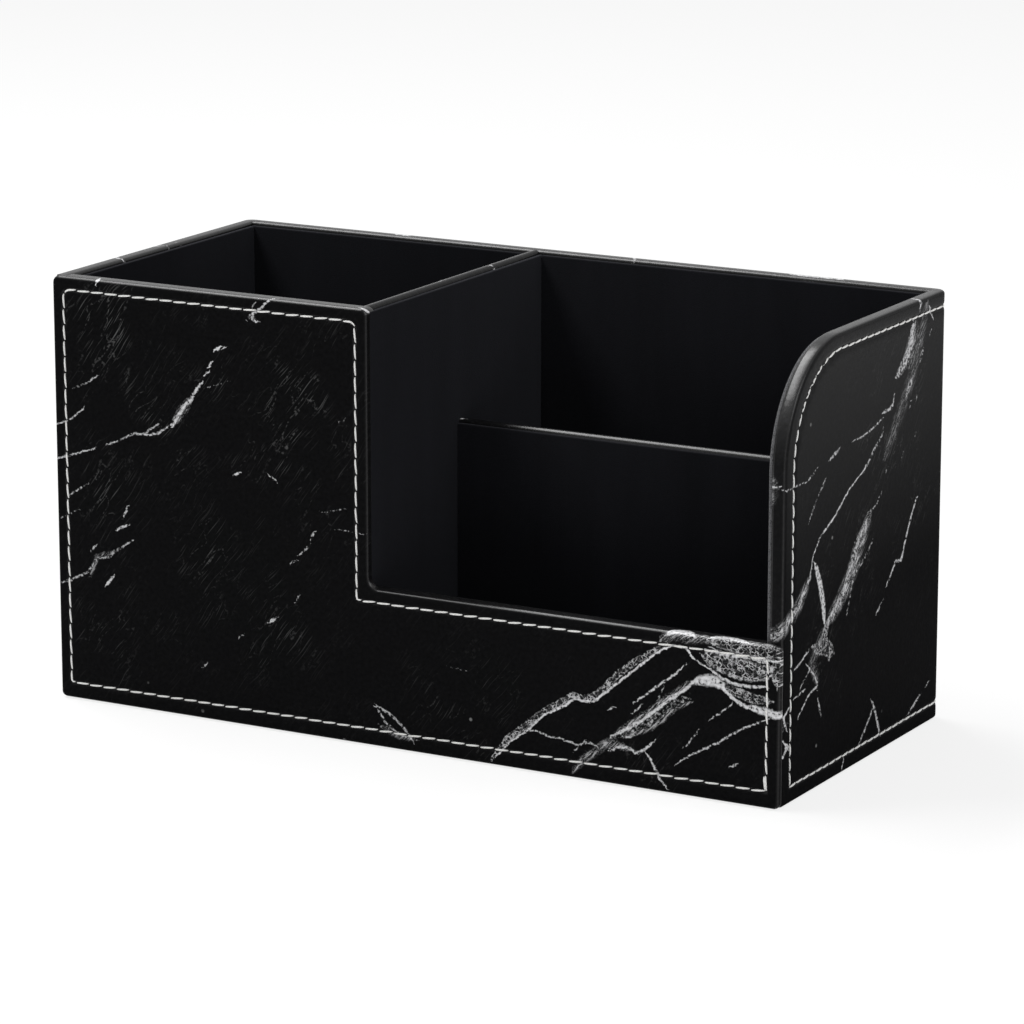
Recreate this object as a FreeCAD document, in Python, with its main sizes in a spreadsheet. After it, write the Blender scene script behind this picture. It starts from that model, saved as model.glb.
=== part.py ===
import FreeCAD, Part
import math
import os
import Sketcher

# Desktop storage box: fibreboard walls wrapped in stitched leather and lined with flannel-covered cards.
# Places are written in the bench frame: x from the left face, y from the front face, z from the table.
# The finished box is centred on the table, with its front at -Y and +X to its right.

DIMENSIONS = {
    # Outside of the finished box
    "width": 220.0,
    "depth": 100.0,
    "height": 118.5,
    # Layers of a wall, from the outside in
    "leather_thickness": 1.0,
    "backing_thickness": 1.0,
    "board_thickness": 3.0,
    "card_thickness": 1.2,
    "card_edge_radius": 0.4,
    # Front: a tall part before the pen cup and a low part before the pockets
    "pen_section_width": 99.0,
    "low_front_height": 43.4,
    "front_corner_radius": 2.0,
    "foot_corner_radius": 1.6,
    "step_corner_radius": 3.0,
    # Wrap round the left, back and right
    "side_sweep_radius": 31.5,
    "back_corner_radius": 3.0,
    "edge_radius": 1.2,
    "fold_radius": 0.8,
    "turn_under_width": 8.0,
    # Divider between the front pocket and the rear pocket, its setback taken to its middle
    "divider_height": 80.0,
    "divider_setback": 50.0,
    "divider_board_thickness": 2.5,
    # Felt sheet that the box stands on
    "pad_proud": 0.3,
    "pad_clearance": 0.5,
    # Seams: each stitch lies in a shallow channel that the thread draws into the leather
    "front_seam_inset": 3.6,
    "side_seam_inset": 4.2,
    "side_seam_setback": 5.2,
    "seam_height": 4.8,
    "front_stitch_pitch": 4.4,
    "side_stitch_pitch": 3.9,
    "stitch_gap": 0.6,
    "thread_width": 0.8,
    "thread_clearance": 0.1,
    "thread_crown_width": 0.4,
    "channel_depth": 0.4,
}

doc = FreeCAD.newDocument("desktop_storage_box")
sheet = doc.addObject("Spreadsheet::Sheet", "sizes")
for row, (alias, number) in enumerate(DIMENSIONS.items(), start=1):
    sheet.set(f"A{row}", alias)
    sheet.set(f"B{row}", str(number))
    sheet.setAlias(f"B{row}", alias)
doc.recompute()


class Size:
    """A length worked out from the sheet: its formula for the document and its value in millimetres."""

    def __init__(self, formula, value):
        self.formula = formula
        self.value = value

    def __add__(self, other):
        return Size(f"({self.formula} + {other.formula})", self.value + other.value)

    def __sub__(self, other):
        return Size(f"({self.formula} - {other.formula})", self.value - other.value)

    def __mul__(self, factor):
        return Size(f"({self.formula} * {factor})", self.value * factor)

    def __truediv__(self, factor):
        return Size(f"({self.formula} / {factor})", self.value / factor)

    def __neg__(self):
        return Size(f"(-{self.formula})", -self.value)


def named(alias):
    """The sheet's dimension of that name."""
    return Size(f"sizes.{alias}", float(sheet.get(alias)))


zero = Size("0", 0.0)
width, depth, height = named("width"), named("depth"), named("height")
leather, backing = named("leather_thickness"), named("backing_thickness")
board, card = named("board_thickness"), named("card_thickness")

# Faces that the pieces share, in the bench frame
wall = leather + board
cover_depth = leather + backing
front_board_back = cover_depth + board
back_board_front = depth - wall
step = named("pen_section_width")
partition_right = step - card
partition_left = partition_right - board
right_board_left = width - wall
pocket_right = right_board_left - card
leather_foot = named("pad_proud")
board_foot = leather_foot + leather
base_top = board_foot + board
floor_top = base_top + card
board_top = height - leather
low_front = named("low_front_height")
low_board_top = low_front - leather
divider_top = named("divider_height")
divider_board_top = divider_top - leather
divider_front = named("divider_setback") - named("divider_board_thickness") / 2
divider_back = named("divider_setback") + named("divider_board_thickness") / 2
sweep_radius = named("side_sweep_radius")
back_radius = named("back_corner_radius")
edge_radius = named("edge_radius")
fold_radius = named("fold_radius")
card_round = named("card_edge_radius")
turn_under = named("turn_under_width")
channel_depth = named("channel_depth")
channel_half = named("thread_width") / 2 + named("thread_clearance")

# The leather's own frame: from its lowest edge, and for the wrap from its front face
cover_top = height - leather_foot
cover_low = low_front - leather_foot
wrap_depth = depth - cover_depth
seam_foot = named("seam_height") - leather_foot


def place(piece, x, y, z):
    """Set a piece's corner at a point of the bench frame."""
    piece.setExpression("Placement.Base.x", (x - width / 2).formula)
    piece.setExpression("Placement.Base.y", (y - depth / 2).formula)
    piece.setExpression("Placement.Base.z", z.formula)


def new_body(name):
    body = doc.addObject("PartDesign::Body", name)
    body.Label = name
    return body


def new_sketch(body, role, name, offset=zero):
    """A sketch on one of the body's own origin planes, moved along that plane's normal."""
    sketch = body.newObject("Sketcher::SketchObject", name)
    origin_plane = next(item for item in body.Origin.OriginFeatures if item.Role == role)
    sketch.AttachmentSupport = [(origin_plane, "")]
    sketch.MapMode = "FlatFace"
    sketch.setExpression("AttachmentOffset.Base.z", offset.formula)
    return sketch


def bind(sketch, constraint, size):
    index = sketch.addConstraint(constraint)
    sketch.setExpression(f"Constraints[{index}]", size.formula)


def draw_outline(sketch, corners, rounds=None):
    """Draw a closed outline of level and upright lines, with the given corners rounded."""
    rounds = rounds or {}
    count = len(corners)
    points = [FreeCAD.Vector(across.value, up.value, 0) for across, up in corners]
    ways = [(points[(index + 1) % count] - points[index]).normalize() for index in range(count)]
    lines = []
    for index in range(count):
        following = (index + 1) % count
        start = points[index] + ways[index] * rounds.get(index, zero).value
        end = points[following] - ways[index] * rounds.get(following, zero).value
        line = sketch.addGeometry(Part.LineSegment(start, end))
        across, up = corners[index]
        if abs(ways[index].x) > abs(ways[index].y):
            sketch.addConstraint(Sketcher.Constraint("Horizontal", line))
            bind(sketch, Sketcher.Constraint("DistanceY", -1, 1, line, 1, up.value), up)
        else:
            sketch.addConstraint(Sketcher.Constraint("Vertical", line))
            bind(sketch, Sketcher.Constraint("DistanceX", -1, 1, line, 1, across.value), across)
        lines.append(line)
    for index in range(count):
        if index in rounds:
            round_corner(sketch, points[index], ways[index - 1], ways[index], rounds[index],
                         lines[index - 1], lines[index])
        else:
            sketch.addConstraint(Sketcher.Constraint("Coincident", lines[index - 1], 2, lines[index], 1))


def round_corner(sketch, corner, way_in, way_out, radius, line_in, line_out):
    """Join two lines of an outline by a tangent quarter circle."""
    centre = corner - way_in * radius.value + way_out * radius.value
    angle_in = math.atan2(-way_out.y, -way_out.x)
    angle_out = math.atan2(way_in.y, way_in.x)
    turns_left = way_in.x * way_out.y - way_in.y * way_out.x > 0
    first, last = (angle_in, angle_out) if turns_left else (angle_out, angle_in)
    if last < first:
        last += 2 * math.pi
    circle = Part.Circle(centre, FreeCAD.Vector(0, 0, 1), radius.value)
    arc = sketch.addGeometry(Part.ArcOfCircle(circle, first, last))
    end_in, end_out = (1, 2) if turns_left else (2, 1)
    sketch.addConstraint(Sketcher.Constraint("Tangent", line_in, 2, arc, end_in))
    sketch.addConstraint(Sketcher.Constraint("Tangent", arc, end_out, line_out, 1))
    bind(sketch, Sketcher.Constraint("Radius", arc, radius.value), radius)


def rectangle(left, right, low, high):
    return [(left, low), (right, low), (right, high), (left, high)]


def pad(body, sketch, length, reverse=False):
    feature = body.newObject("PartDesign::Pad", f"{sketch.Name}_pad")
    feature.Profile = sketch
    feature.setExpression("Length", length.formula)
    feature.Reversed = reverse
    return feature


def pocket(body, sketch, length, reverse=False):
    """Cut a sketch into the body, and make sure that it took material away."""
    doc.recompute()
    before = body.Shape.Volume
    feature = body.newObject("PartDesign::Pocket", f"{sketch.Name}_pocket")
    feature.Profile = sketch
    feature.setExpression("Length", length.formula)
    feature.Reversed = reverse
    doc.recompute()
    if body.Shape.Volume >= before:
        raise RuntimeError(f"{feature.Name} cuts nothing")


def fillet(body, name, radius, wanted):
    """Round the edges of the body that the test picks."""
    doc.recompute()
    base = body.Tip
    edges = [f"Edge{number}" for number, edge in enumerate(base.Shape.Edges, start=1) if wanted(edge)]
    feature = body.newObject("PartDesign::Fillet", name)
    feature.Base = (base, edges)
    feature.setExpression("Radius", radius.formula)
    doc.recompute()


def lies_at(edge, axis, size):
    """True where the whole edge lies in the plane at that place along the axis."""
    box = edge.BoundBox
    low = getattr(box, f"{axis}Min")
    high = getattr(box, f"{axis}Max")
    return abs(low - size.value) < 1e-4 and abs(high - size.value) < 1e-4


def panel(name, role, outline, thickness, corner, rounds=None):
    """A flat piece: an outline padded by its thickness, set by its corner in the bench frame."""
    body = new_body(name)
    sketch = new_sketch(body, role, f"{name}_outline")
    draw_outline(sketch, outline, rounds)
    pad(body, sketch, thickness, reverse=(role == "XZ_Plane"))
    place(body, *corner)
    return body


def slab(name, role, across, up, thickness, corner):
    """A rectangular panel."""
    return panel(name, role, rectangle(zero, across, zero, up), thickness, corner)


# Boards: the side boards run the full depth, the others stand between them
def front_board():
    """An L: tall before the pen cup and low before the pockets."""
    end = right_board_left - wall
    tall_end = partition_right - wall
    low = low_board_top - board_foot
    tall = board_top - board_foot
    outline = [(zero, zero), (end, zero), (end, low), (tall_end, low), (tall_end, tall), (zero, tall)]
    return panel("front_board", "XZ_Plane", outline, board, (wall, cover_depth, board_foot))


def left_board():
    """Its outer rear edge is rounded, so that the leather goes round the corner in one bend."""
    length = depth - leather - (cover_depth + leather)
    return panel("left_board", "XY_Plane", rectangle(zero, board, zero, length), board_top - board_foot,
                 (leather, cover_depth + leather, board_foot), {3: back_radius - leather})


def right_board():
    """Its front top corner sweeps down to the low front."""
    length = depth - leather - (cover_depth + leather)
    body = panel("right_board", "YZ_Plane", rectangle(zero, length, zero, board_top - board_foot), board,
                 (right_board_left, cover_depth + leather, board_foot), {3: sweep_radius - leather})
    fillet(body, "right_board_rear_round", back_radius - leather,
           lambda edge: lies_at(edge, "X", board) and lies_at(edge, "Y", length))
    return body


def plain_boards():
    span = right_board_left - wall
    inner_depth = back_board_front - front_board_back
    back = slab("back_board", "XZ_Plane", span, board_top - board_foot, board,
                (wall, back_board_front, board_foot))
    base = slab("base_board", "XY_Plane", span, inner_depth, board, (wall, front_board_back, board_foot))
    partition = slab("partition_board", "YZ_Plane", inner_depth, board_top - base_top, board,
                     (partition_left, front_board_back, base_top))
    divider = slab("divider_board", "XZ_Plane", pocket_right - step, divider_board_top - base_top,
                   named("divider_board_thickness"), (step, divider_front, base_top))
    return [back, base, partition, divider]


# Linings: cards whose edges end level with the board edges, just below the folded leather
def wall_lining(name, role, outline, corner, rounds=None):
    """An upright card with the flannel rounded over its top edge."""
    body = panel(name, role, outline, card, corner, rounds)
    top = max(up.value for across, up in outline)
    fillet(body, f"{name}_top_round", card_round,
           lambda edge: abs(edge.BoundBox.ZMin - top) < 1e-4 and edge.Length > (card * 2).value)
    return body


def pen_cup_linings():
    run = back_board_front - front_board_back
    across = rectangle(zero, partition_left - wall, zero, board_top - floor_top)
    along = rectangle(zero, run - card * 2, zero, board_top - floor_top)
    side_y = front_board_back + card
    return [
        slab("pen_cup_floor_lining", "XY_Plane", partition_left - wall, run, card,
             (wall, front_board_back, base_top)),
        wall_lining("pen_cup_front_lining", "XZ_Plane", across, (wall, front_board_back, floor_top)),
        wall_lining("pen_cup_back_lining", "XZ_Plane", across, (wall, back_board_front - card, floor_top)),
        wall_lining("pen_cup_left_lining", "YZ_Plane", along, (wall, side_y, floor_top)),
        wall_lining("pen_cup_right_lining", "YZ_Plane", along, (partition_left - card, side_y, floor_top)),
    ]


def notched_outline(front):
    """Side lining of the pockets: it steps forward over the low front, as far as the given place."""
    foot = front_board_back - front
    rear = back_board_front - front
    low = low_board_top - base_top
    high = board_top - base_top
    return [(foot, zero), (rear, zero), (rear, high), (zero, high), (zero, low), (foot, low)]


def swept_lining():
    """The right wall's lining follows the swept corner, and its free edge shows beside the leather."""
    front = cover_depth + leather
    outline = notched_outline(front)
    body = panel("pocket_right_lining", "YZ_Plane", outline, card, (pocket_right, front, base_top),
                 {3: sweep_radius - leather})
    high = board_top - base_top

    def is_free(edge):
        on_face = lies_at(edge, "X", zero) or lies_at(edge, "X", card)
        is_sweep = edge.Curve.TypeId == "Part::GeomCircle"
        return on_face and (is_sweep or lies_at(edge, "Z", high) or lies_at(edge, "Y", zero))

    fillet(body, "pocket_right_lining_round", card_round, is_free)
    return body


def pocket_linings():
    span = pocket_right - step

    def across(top):
        return rectangle(zero, span, zero, top - floor_top)

    return [
        wall_lining("pocket_left_lining", "YZ_Plane", notched_outline(cover_depth),
                    (partition_right, cover_depth, base_top)),
        swept_lining(),
        slab("front_pocket_floor_lining", "XY_Plane", span, divider_front - front_board_back, card,
             (step, front_board_back, base_top)),
        wall_lining("front_pocket_front_lining", "XZ_Plane", across(low_board_top),
                    (step, front_board_back, floor_top)),
        wall_lining("divider_front_lining", "XZ_Plane", across(divider_board_top),
                    (step, divider_front - card, floor_top)),
        wall_lining("divider_rear_lining", "XZ_Plane", across(divider_board_top),
                    (step, divider_back, floor_top)),
        slab("rear_pocket_floor_lining", "XY_Plane", span, back_board_front - divider_back, card,
             (step, divider_back, base_top)),
        wall_lining("rear_pocket_back_lining", "XZ_Plane", across(board_top),
                    (step, back_board_front - card, floor_top)),
    ]


# Leather strips folded over the top edges of the partition and the divider
def edge_caps():
    run = back_board_front - front_board_back
    partition = slab("partition_cap", "XY_Plane", board, run, leather,
                     (partition_left, front_board_back, board_top))
    fillet(partition, "partition_cap_fold", fold_radius,
           lambda edge: lies_at(edge, "Z", leather) and edge.BoundBox.YLength > edge.BoundBox.XLength)
    thickness = named("divider_board_thickness")
    divider = slab("divider_cap", "XY_Plane", pocket_right - step, thickness, leather,
                   (step, divider_front, divider_board_top))
    fillet(divider, "divider_cap_fold", fold_radius,
           lambda edge: lies_at(edge, "Z", leather) and edge.BoundBox.XLength > edge.BoundBox.YLength)
    return [partition, divider]


# Front cover: leather sewn to a card, turned round the card's edges and folded over the front board
def step_outline(inset, foot, low, tall):
    """The front's L, inset from its left, step and right edges."""
    left = inset
    right = width - inset
    turn = step - inset
    return [(left, foot), (right, foot), (right, low), (turn, low), (turn, tall), (left, tall)]


def front_backing():
    foot_round = named("foot_corner_radius") - leather
    tall_round = named("front_corner_radius") - leather
    rounds = {0: foot_round, 1: foot_round, 2: foot_round, 3: named("step_corner_radius") + leather,
              4: tall_round, 5: tall_round}
    outline = step_outline(leather, leather, cover_low - leather, cover_top - leather)
    return panel("front_backing", "XZ_Plane", outline, backing, (zero, leather, leather_foot), rounds)


def front_cover(card_inside):
    blank = new_body("front_cover_blank")
    face = new_sketch(blank, "XZ_Plane", "front_face")
    foot_round = named("foot_corner_radius")
    tall_round = named("front_corner_radius")
    rounds = {0: foot_round, 1: foot_round, 2: foot_round, 3: named("step_corner_radius"),
              4: tall_round, 5: tall_round}
    draw_outline(face, step_outline(zero, zero, cover_low, cover_top), rounds)
    pad(blank, face, cover_depth, reverse=True)
    fillet(blank, "front_edge_round", edge_radius, lambda edge: lies_at(edge, "Y", zero))
    folds = {
        "tall_fold": (rectangle(wall, partition_right, cover_top - leather, cover_top), board),
        "low_fold": (rectangle(step, pocket_right, cover_low - leather, cover_low), board),
        "foot_fold": (rectangle(turn_under, width - turn_under, zero, leather), turn_under - cover_depth),
    }
    for name, (outline, reach) in folds.items():
        fold = new_sketch(blank, "XZ_Plane", name, -cover_depth)
        draw_outline(fold, outline)
        pad(blank, fold, reach, reverse=True)
    fillet(blank, "fold_round", fold_radius,
           lambda edge: lies_at(edge, "Y", front_board_back)
           and (lies_at(edge, "Z", cover_top) or lies_at(edge, "Z", cover_low)))
    inset = named("front_seam_inset")
    channel = new_sketch(blank, "XZ_Plane", "front_channel")
    for side in (channel_half, -channel_half):
        draw_outline(channel, step_outline(inset - side, seam_foot - side, cover_low - inset + side,
                                           cover_top - inset + side))
    pocket(blank, channel, channel_depth)
    place(blank, zero, zero, leather_foot)
    cover = doc.addObject("Part::Cut", "front_cover")
    cover.Base = blank
    cover.Tool = card_inside
    return cover


# Wrap: one strip of leather round the left, back and right boards, folded over all their free edges
def wrap_channels(blank):
    """The seam's channels: level runs round the three walls, and a run up each side behind the front edge."""
    seam_front = named("side_seam_setback")
    seam_top = cover_top - named("side_seam_inset")
    sweep = sweep_radius - named("side_seam_inset")
    reach = edge_radius
    run_front = seam_front - channel_half
    inner_round = back_radius - channel_depth
    far = width - channel_depth
    rear = wrap_depth - channel_depth
    for name, middle, right_front in (("foot_channel", seam_foot, run_front),
                                      ("top_channel", seam_top, seam_front + sweep)):
        level = new_sketch(blank, "XY_Plane", name, middle - channel_half)
        outline = [(-reach, run_front), (channel_depth, run_front), (channel_depth, rear), (far, rear),
                   (far, right_front), (width + reach, right_front), (width + reach, wrap_depth + reach),
                   (-reach, wrap_depth + reach)]
        draw_outline(level, outline, {2: inner_round, 3: inner_round})
        pocket(blank, level, channel_half * 2, reverse=True)
    low = seam_foot - channel_half
    left_run = new_sketch(blank, "YZ_Plane", "left_channel")
    draw_outline(left_run, rectangle(run_front, seam_front + channel_half, low, seam_top + channel_half))
    pocket(blank, left_run, channel_depth, reverse=True)
    right_run = new_sketch(blank, "YZ_Plane", "right_channel", width)
    tangent = seam_front + sweep + channel_half * 2
    run_back = seam_front + channel_half
    outline = [(run_front, low), (run_back, low), (run_back, seam_top - channel_half),
               (tangent, seam_top - channel_half), (tangent, seam_top + channel_half),
               (run_front, seam_top + channel_half)]
    draw_outline(right_run, outline, {2: sweep - channel_half, 5: sweep + channel_half})
    pocket(blank, right_run, channel_depth)


def wrap_cover(boards):
    blank = new_body("wrap_cover_blank")
    left_and_back = new_sketch(blank, "XY_Plane", "left_and_back")
    rear = wrap_depth - wall
    draw_outline(left_and_back, [(zero, zero), (wall, zero), (wall, rear), (width, rear), (width, wrap_depth),
                                 (zero, wrap_depth)])
    pad(blank, left_and_back, cover_top)
    right_side = new_sketch(blank, "YZ_Plane", "right_side", right_board_left)
    draw_outline(right_side, rectangle(zero, wrap_depth, zero, cover_top), {3: sweep_radius})
    pad(blank, right_side, wall)
    underside = new_sketch(blank, "XY_Plane", "underside")
    inner = wrap_depth - turn_under
    far_turn = width - turn_under
    draw_outline(underside, [(zero, zero), (turn_under, zero), (turn_under, inner), (far_turn, inner),
                             (far_turn, zero), (width, zero), (width, wrap_depth), (zero, wrap_depth)])
    pad(blank, underside, leather)
    fillet(blank, "rear_corner_round", back_radius,
           lambda edge: lies_at(edge, "Y", wrap_depth) and edge.BoundBox.ZLength > edge.BoundBox.XLength)
    fillet(blank, "outer_edge_round", edge_radius, outer_wrap_edge)
    fillet(blank, "inner_fold_round", fold_radius, inner_wrap_edge)
    wrap_channels(blank)
    place(blank, zero, cover_depth, leather_foot)
    stack = doc.addObject("Part::MultiFuse", "wrapped_boards")
    stack.Shapes = boards
    cover = doc.addObject("Part::Cut", "wrap_cover")
    cover.Base = blank
    cover.Tool = stack
    return cover


def outer_wrap_edge(edge):
    """True for the free edges of the wrap's outer face: the top, the sweep, the front and the foot."""
    box = edge.BoundBox
    on_left = box.XMax < back_radius.value + 1e-4
    on_right = box.XMin > (width - back_radius).value - 1e-4
    on_back = box.YMin > (wrap_depth - back_radius).value - 1e-4
    outside = lies_at(edge, "X", zero) or lies_at(edge, "X", width) or lies_at(edge, "Y", wrap_depth)
    corner = on_back and (on_left or on_right)
    level = lies_at(edge, "Z", zero) or lies_at(edge, "Z", cover_top)
    round_the_corner = corner and level and edge.Curve.TypeId == "Part::GeomCircle"
    return (outside and not is_rear_upright(edge)) or round_the_corner


def inner_wrap_edge(edge):
    """True for the inner edges of the folds: the three walls' tops, the sweep and the right wall's front."""
    on_left = lies_at(edge, "X", wall) and lies_at(edge, "Z", cover_top)
    on_back = lies_at(edge, "Y", wrap_depth - wall) and lies_at(edge, "Z", cover_top)
    box = edge.BoundBox
    faces_inward = box.ZMin < (cover_top - sweep_radius).value and not lies_at(edge, "Y", zero)
    on_right = lies_at(edge, "X", right_board_left) and not faces_inward
    return on_left or on_back or on_right


def is_rear_upright(edge):
    """True for the upright lines where the rounded rear corners begin and end."""
    box = edge.BoundBox
    upright = box.ZLength > box.XLength + box.YLength
    return upright and box.YMin > (wrap_depth - back_radius).value - 1e-4


def base_pad():
    """Felt sheet inside the leather that is turned under the box."""
    edge = turn_under + named("pad_clearance")
    return slab("base_pad", "XY_Plane", width - edge * 2, depth - edge * 2, board_foot, (edge, edge, zero))


# Stitches: short tapered lengths of thread, evenly spaced along each run of a seam
def stitch(length):
    """One stitch, lying along X on the channel floor, with its narrower crown level with the leather."""
    half = named("thread_width").value / 2
    crown = named("thread_crown_width").value / 2
    slope = half - crown
    return Part.makeWedge(-length / 2, 0, -half, -crown, slope - length / 2,
                          length / 2, channel_depth.value, half, crown, length / 2 - slope)


def laid_stitch(start, end, outward):
    """A stitch between two needle holes on the leather's face."""
    along = end - start
    length = along.Length - named("stitch_gap").value
    shape = stitch(length)
    turn = FreeCAD.Rotation(along, outward, FreeCAD.Vector(), "XYZ")
    middle = (start + end) * 0.5 - outward * channel_depth.value
    shape.Placement = FreeCAD.Placement(middle, turn)
    return shape


def straight_run(start, end, outward, pitch):
    """Whole stitches from corner to corner."""
    count = max(1, round((end - start).Length / pitch))
    holes = [start + (end - start) * (index / count) for index in range(count + 1)]
    return [laid_stitch(first, second, outward) for first, second in zip(holes, holes[1:])]


def front_stitching():
    inset = named("front_seam_inset")
    corners = step_outline(inset, seam_foot, cover_low - inset, cover_top - inset)
    points = [FreeCAD.Vector(across.value, 0, up.value) for across, up in corners]
    pitch = named("front_stitch_pitch").value
    toward_user = FreeCAD.Vector(0, -1, 0)
    stitches = []
    for start, end in zip(points, points[1:] + points[:1]):
        stitches += straight_run(start, end, toward_user, pitch)
    return stitch_group("front_stitching", stitches, zero)


def wrap_stitching():
    pitch = named("side_stitch_pitch").value
    front = named("side_seam_setback").value
    foot = seam_foot.value
    top = (cover_top - named("side_seam_inset")).value
    sweep = (sweep_radius - named("side_seam_inset")).value
    bend = (wrap_depth - back_radius).value
    left_end = back_radius.value
    right_end = (width - back_radius).value
    left, right, back = FreeCAD.Vector(-1, 0, 0), FreeCAD.Vector(1, 0, 0), FreeCAD.Vector(0, 1, 0)
    far, rear = width.value, wrap_depth.value

    def on_left(y, z):
        return FreeCAD.Vector(0, y, z)

    def on_right(y, z):
        return FreeCAD.Vector(far, y, z)

    def on_back(x, z):
        return FreeCAD.Vector(x, rear, z)

    stitches = straight_run(on_left(front, foot), on_left(front, top), left, pitch)
    stitches += straight_run(on_right(front, foot), on_right(front, top - sweep), right, pitch)
    stitches += sweep_run(on_right(front + sweep, top - sweep), sweep, right, pitch)
    stitches += straight_run(on_right(front, foot), on_right(bend, foot), right, pitch)
    stitches += straight_run(on_right(front + sweep, top), on_right(bend, top), right, pitch)
    for z in (foot, top):
        stitches += straight_run(on_left(front, z), on_left(bend, z), left, pitch)
        stitches += straight_run(on_back(left_end, z), on_back(right_end, z), back, pitch)
        stitches.append(corner_stitch(FreeCAD.Vector(right_end, bend, z), 0))
        stitches.append(corner_stitch(FreeCAD.Vector(left_end, bend, z), 90))
    return stitch_group("wrap_stitching", stitches, cover_depth)


def sweep_run(centre, radius, outward, pitch):
    """Stitches round the swept corner, from its front to its top."""
    count = max(1, round(radius * math.pi / 2 / pitch))
    angles = [math.pi / 2 * index / count for index in range(count + 1)]
    holes = [centre + FreeCAD.Vector(0, -math.cos(angle), math.sin(angle)) * radius for angle in angles]
    return [laid_stitch(first, second, outward) for first, second in zip(holes, holes[1:])]


def corner_stitch(centre, turn):
    """The one stitch that bends round a rear corner."""
    radius = back_radius.value
    tall = named("thread_width").value
    trim = math.degrees(named("stitch_gap").value / 2 / radius)
    base = centre - FreeCAD.Vector(0, 0, tall / 2)
    up = FreeCAD.Vector(0, 0, 1)
    outer = Part.makeCylinder(radius, tall, base, up, 90 - 2 * trim)
    inner = Part.makeCylinder(radius - channel_depth.value, tall, base, up, 90 - 2 * trim)
    ring = outer.cut(inner)
    ring.rotate(centre, up, turn + trim)
    return ring


def stitch_group(name, stitches, front):
    group = doc.addObject("Part::Feature", name)
    group.Label = name
    group.Shape = Part.makeCompound(stitches)
    place(group, zero, front, leather_foot)
    return group


left_piece, right_piece = left_board(), right_board()
back_piece, base_piece, partition_piece, divider_piece = plain_boards()
pieces = [front_board(), left_piece, right_piece, back_piece, base_piece, partition_piece, divider_piece]
pieces += pen_cup_linings() + pocket_linings() + edge_caps()
backing_piece = front_backing()
pieces += [backing_piece, front_cover(backing_piece), wrap_cover([left_piece, right_piece, back_piece])]
pieces += [front_stitching(), wrap_stitching(), base_pad()]
doc.recompute()

for item in doc.Objects:
    if "Invalid" in item.State or "Error" in item.State:
        raise RuntimeError(f"{item.Label} failed: {item.State}")
for piece in pieces:
    if piece.Shape.isNull() or not piece.Shape.isValid():
        raise RuntimeError(f"{piece.Label} has no valid shape")

os.makedirs("parts", exist_ok=True)
for piece in pieces:
    piece.Shape.exportStep(f"parts/{piece.Label}.step")
    print(f"{piece.Label:28s} solids {len(piece.Shape.Solids):4d} volume {piece.Shape.Volume:10.1f}")
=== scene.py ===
import functools
import math
import random

import bmesh
import bpy
import numpy as np
from mathutils import Matrix, Vector


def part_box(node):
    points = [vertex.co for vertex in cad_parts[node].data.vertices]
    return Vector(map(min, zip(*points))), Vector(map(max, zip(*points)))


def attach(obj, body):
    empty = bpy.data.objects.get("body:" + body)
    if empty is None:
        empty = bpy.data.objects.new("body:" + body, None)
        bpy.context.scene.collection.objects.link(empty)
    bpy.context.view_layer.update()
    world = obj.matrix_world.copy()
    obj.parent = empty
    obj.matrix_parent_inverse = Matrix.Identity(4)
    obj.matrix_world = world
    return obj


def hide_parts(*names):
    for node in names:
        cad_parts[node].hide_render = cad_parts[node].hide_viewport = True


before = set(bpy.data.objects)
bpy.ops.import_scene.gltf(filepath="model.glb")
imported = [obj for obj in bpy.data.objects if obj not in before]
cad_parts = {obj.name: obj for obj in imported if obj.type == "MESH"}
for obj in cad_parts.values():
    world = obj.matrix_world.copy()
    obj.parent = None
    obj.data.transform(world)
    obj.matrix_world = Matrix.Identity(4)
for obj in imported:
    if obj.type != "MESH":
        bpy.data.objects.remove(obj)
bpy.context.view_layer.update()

# Desktop storage box: black marbled leather sewn over boards, with flannel-covered cards inside.
# Lengths in this file are millimetres of the part's own frame until a piece is finished.
MM = 0.001
CLOSE = 0.02
WELD = 0.005
FAR = 99.0
# The leather: its thickness, its roundings, and how far its folds reach down inside and lean there
LEATHER = 0.75
EDGE_ROUND = 1.2
WRAP_ROUND = 1.0
FOLD_ROUND = 0.8
OUTER_CORNER = 1.6
STEP_CORNER = 3.0
TOP_CORNER = 2.0
TUCK = 1.7
FLAP_LEAN = 0.05
# How the thread draws the leather in: along the seam, and more at each needle hole
SEAM_DEPTH = 0.42
SEAM_SPREAD = 0.6
PRICK_DEPTH = 0.16
PRICK_SPREAD = 0.7
# The stitches: room between two, a tacked one's place beside the seam, lean in degrees, the thread's form
STITCH_GAP = 0.3
TACK_ASIDE = 0.4
STITCH_LEAN = 4.5
LEAN_SPREAD = 2
SHIFT_SPREAD = 0.06
THREAD_SIDES = 8
THREAD_WIDE = 0.27
THREAD_HIGH = 0.25
THREAD_SUNK = 0.26
END_DIP = 0.2
END_FULLNESS = 0.22
PLY_LENGTH = 0.9
# The lining cards, the leather caps and the felt
LINING_DROP = 1.0
CARD_ROUND = 0.38
CARD_SKIN = 0.03
# How much lighter the flannel's edges are, little on most cards and much on the swept one: rubbed nap and
# painted highlight
RUB_AND_SHEEN_LITTLE = 0.03
RUB_AND_SHEEN_MUCH = 0.9
CAP_SPREAD = 0.05
CAP_SINK = 0.02
FELT_ROUND = 0.25
# Cuts that carry the print: first place, last place and spacing
FRONT_ROWS = (2.0, 117.0, 1.1)
FRONT_COLUMNS = (-108.4, 108.4, 1.1)
WRAP_ROWS = (2.2, 116.7, 1.3)
WRAP_DEPTHS = (-46.2, 46.8, 1.3)
WRAP_COLUMNS = (-106.8, 106.8, 1.7)
CAP_SPACING = 1.6
SEAM_CUTS = (-1.3, -0.75, -0.35, 0, 0.35, 0.75, 1.3)
CUT_ROOM = 0.45
draw = random.Random(11)


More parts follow.
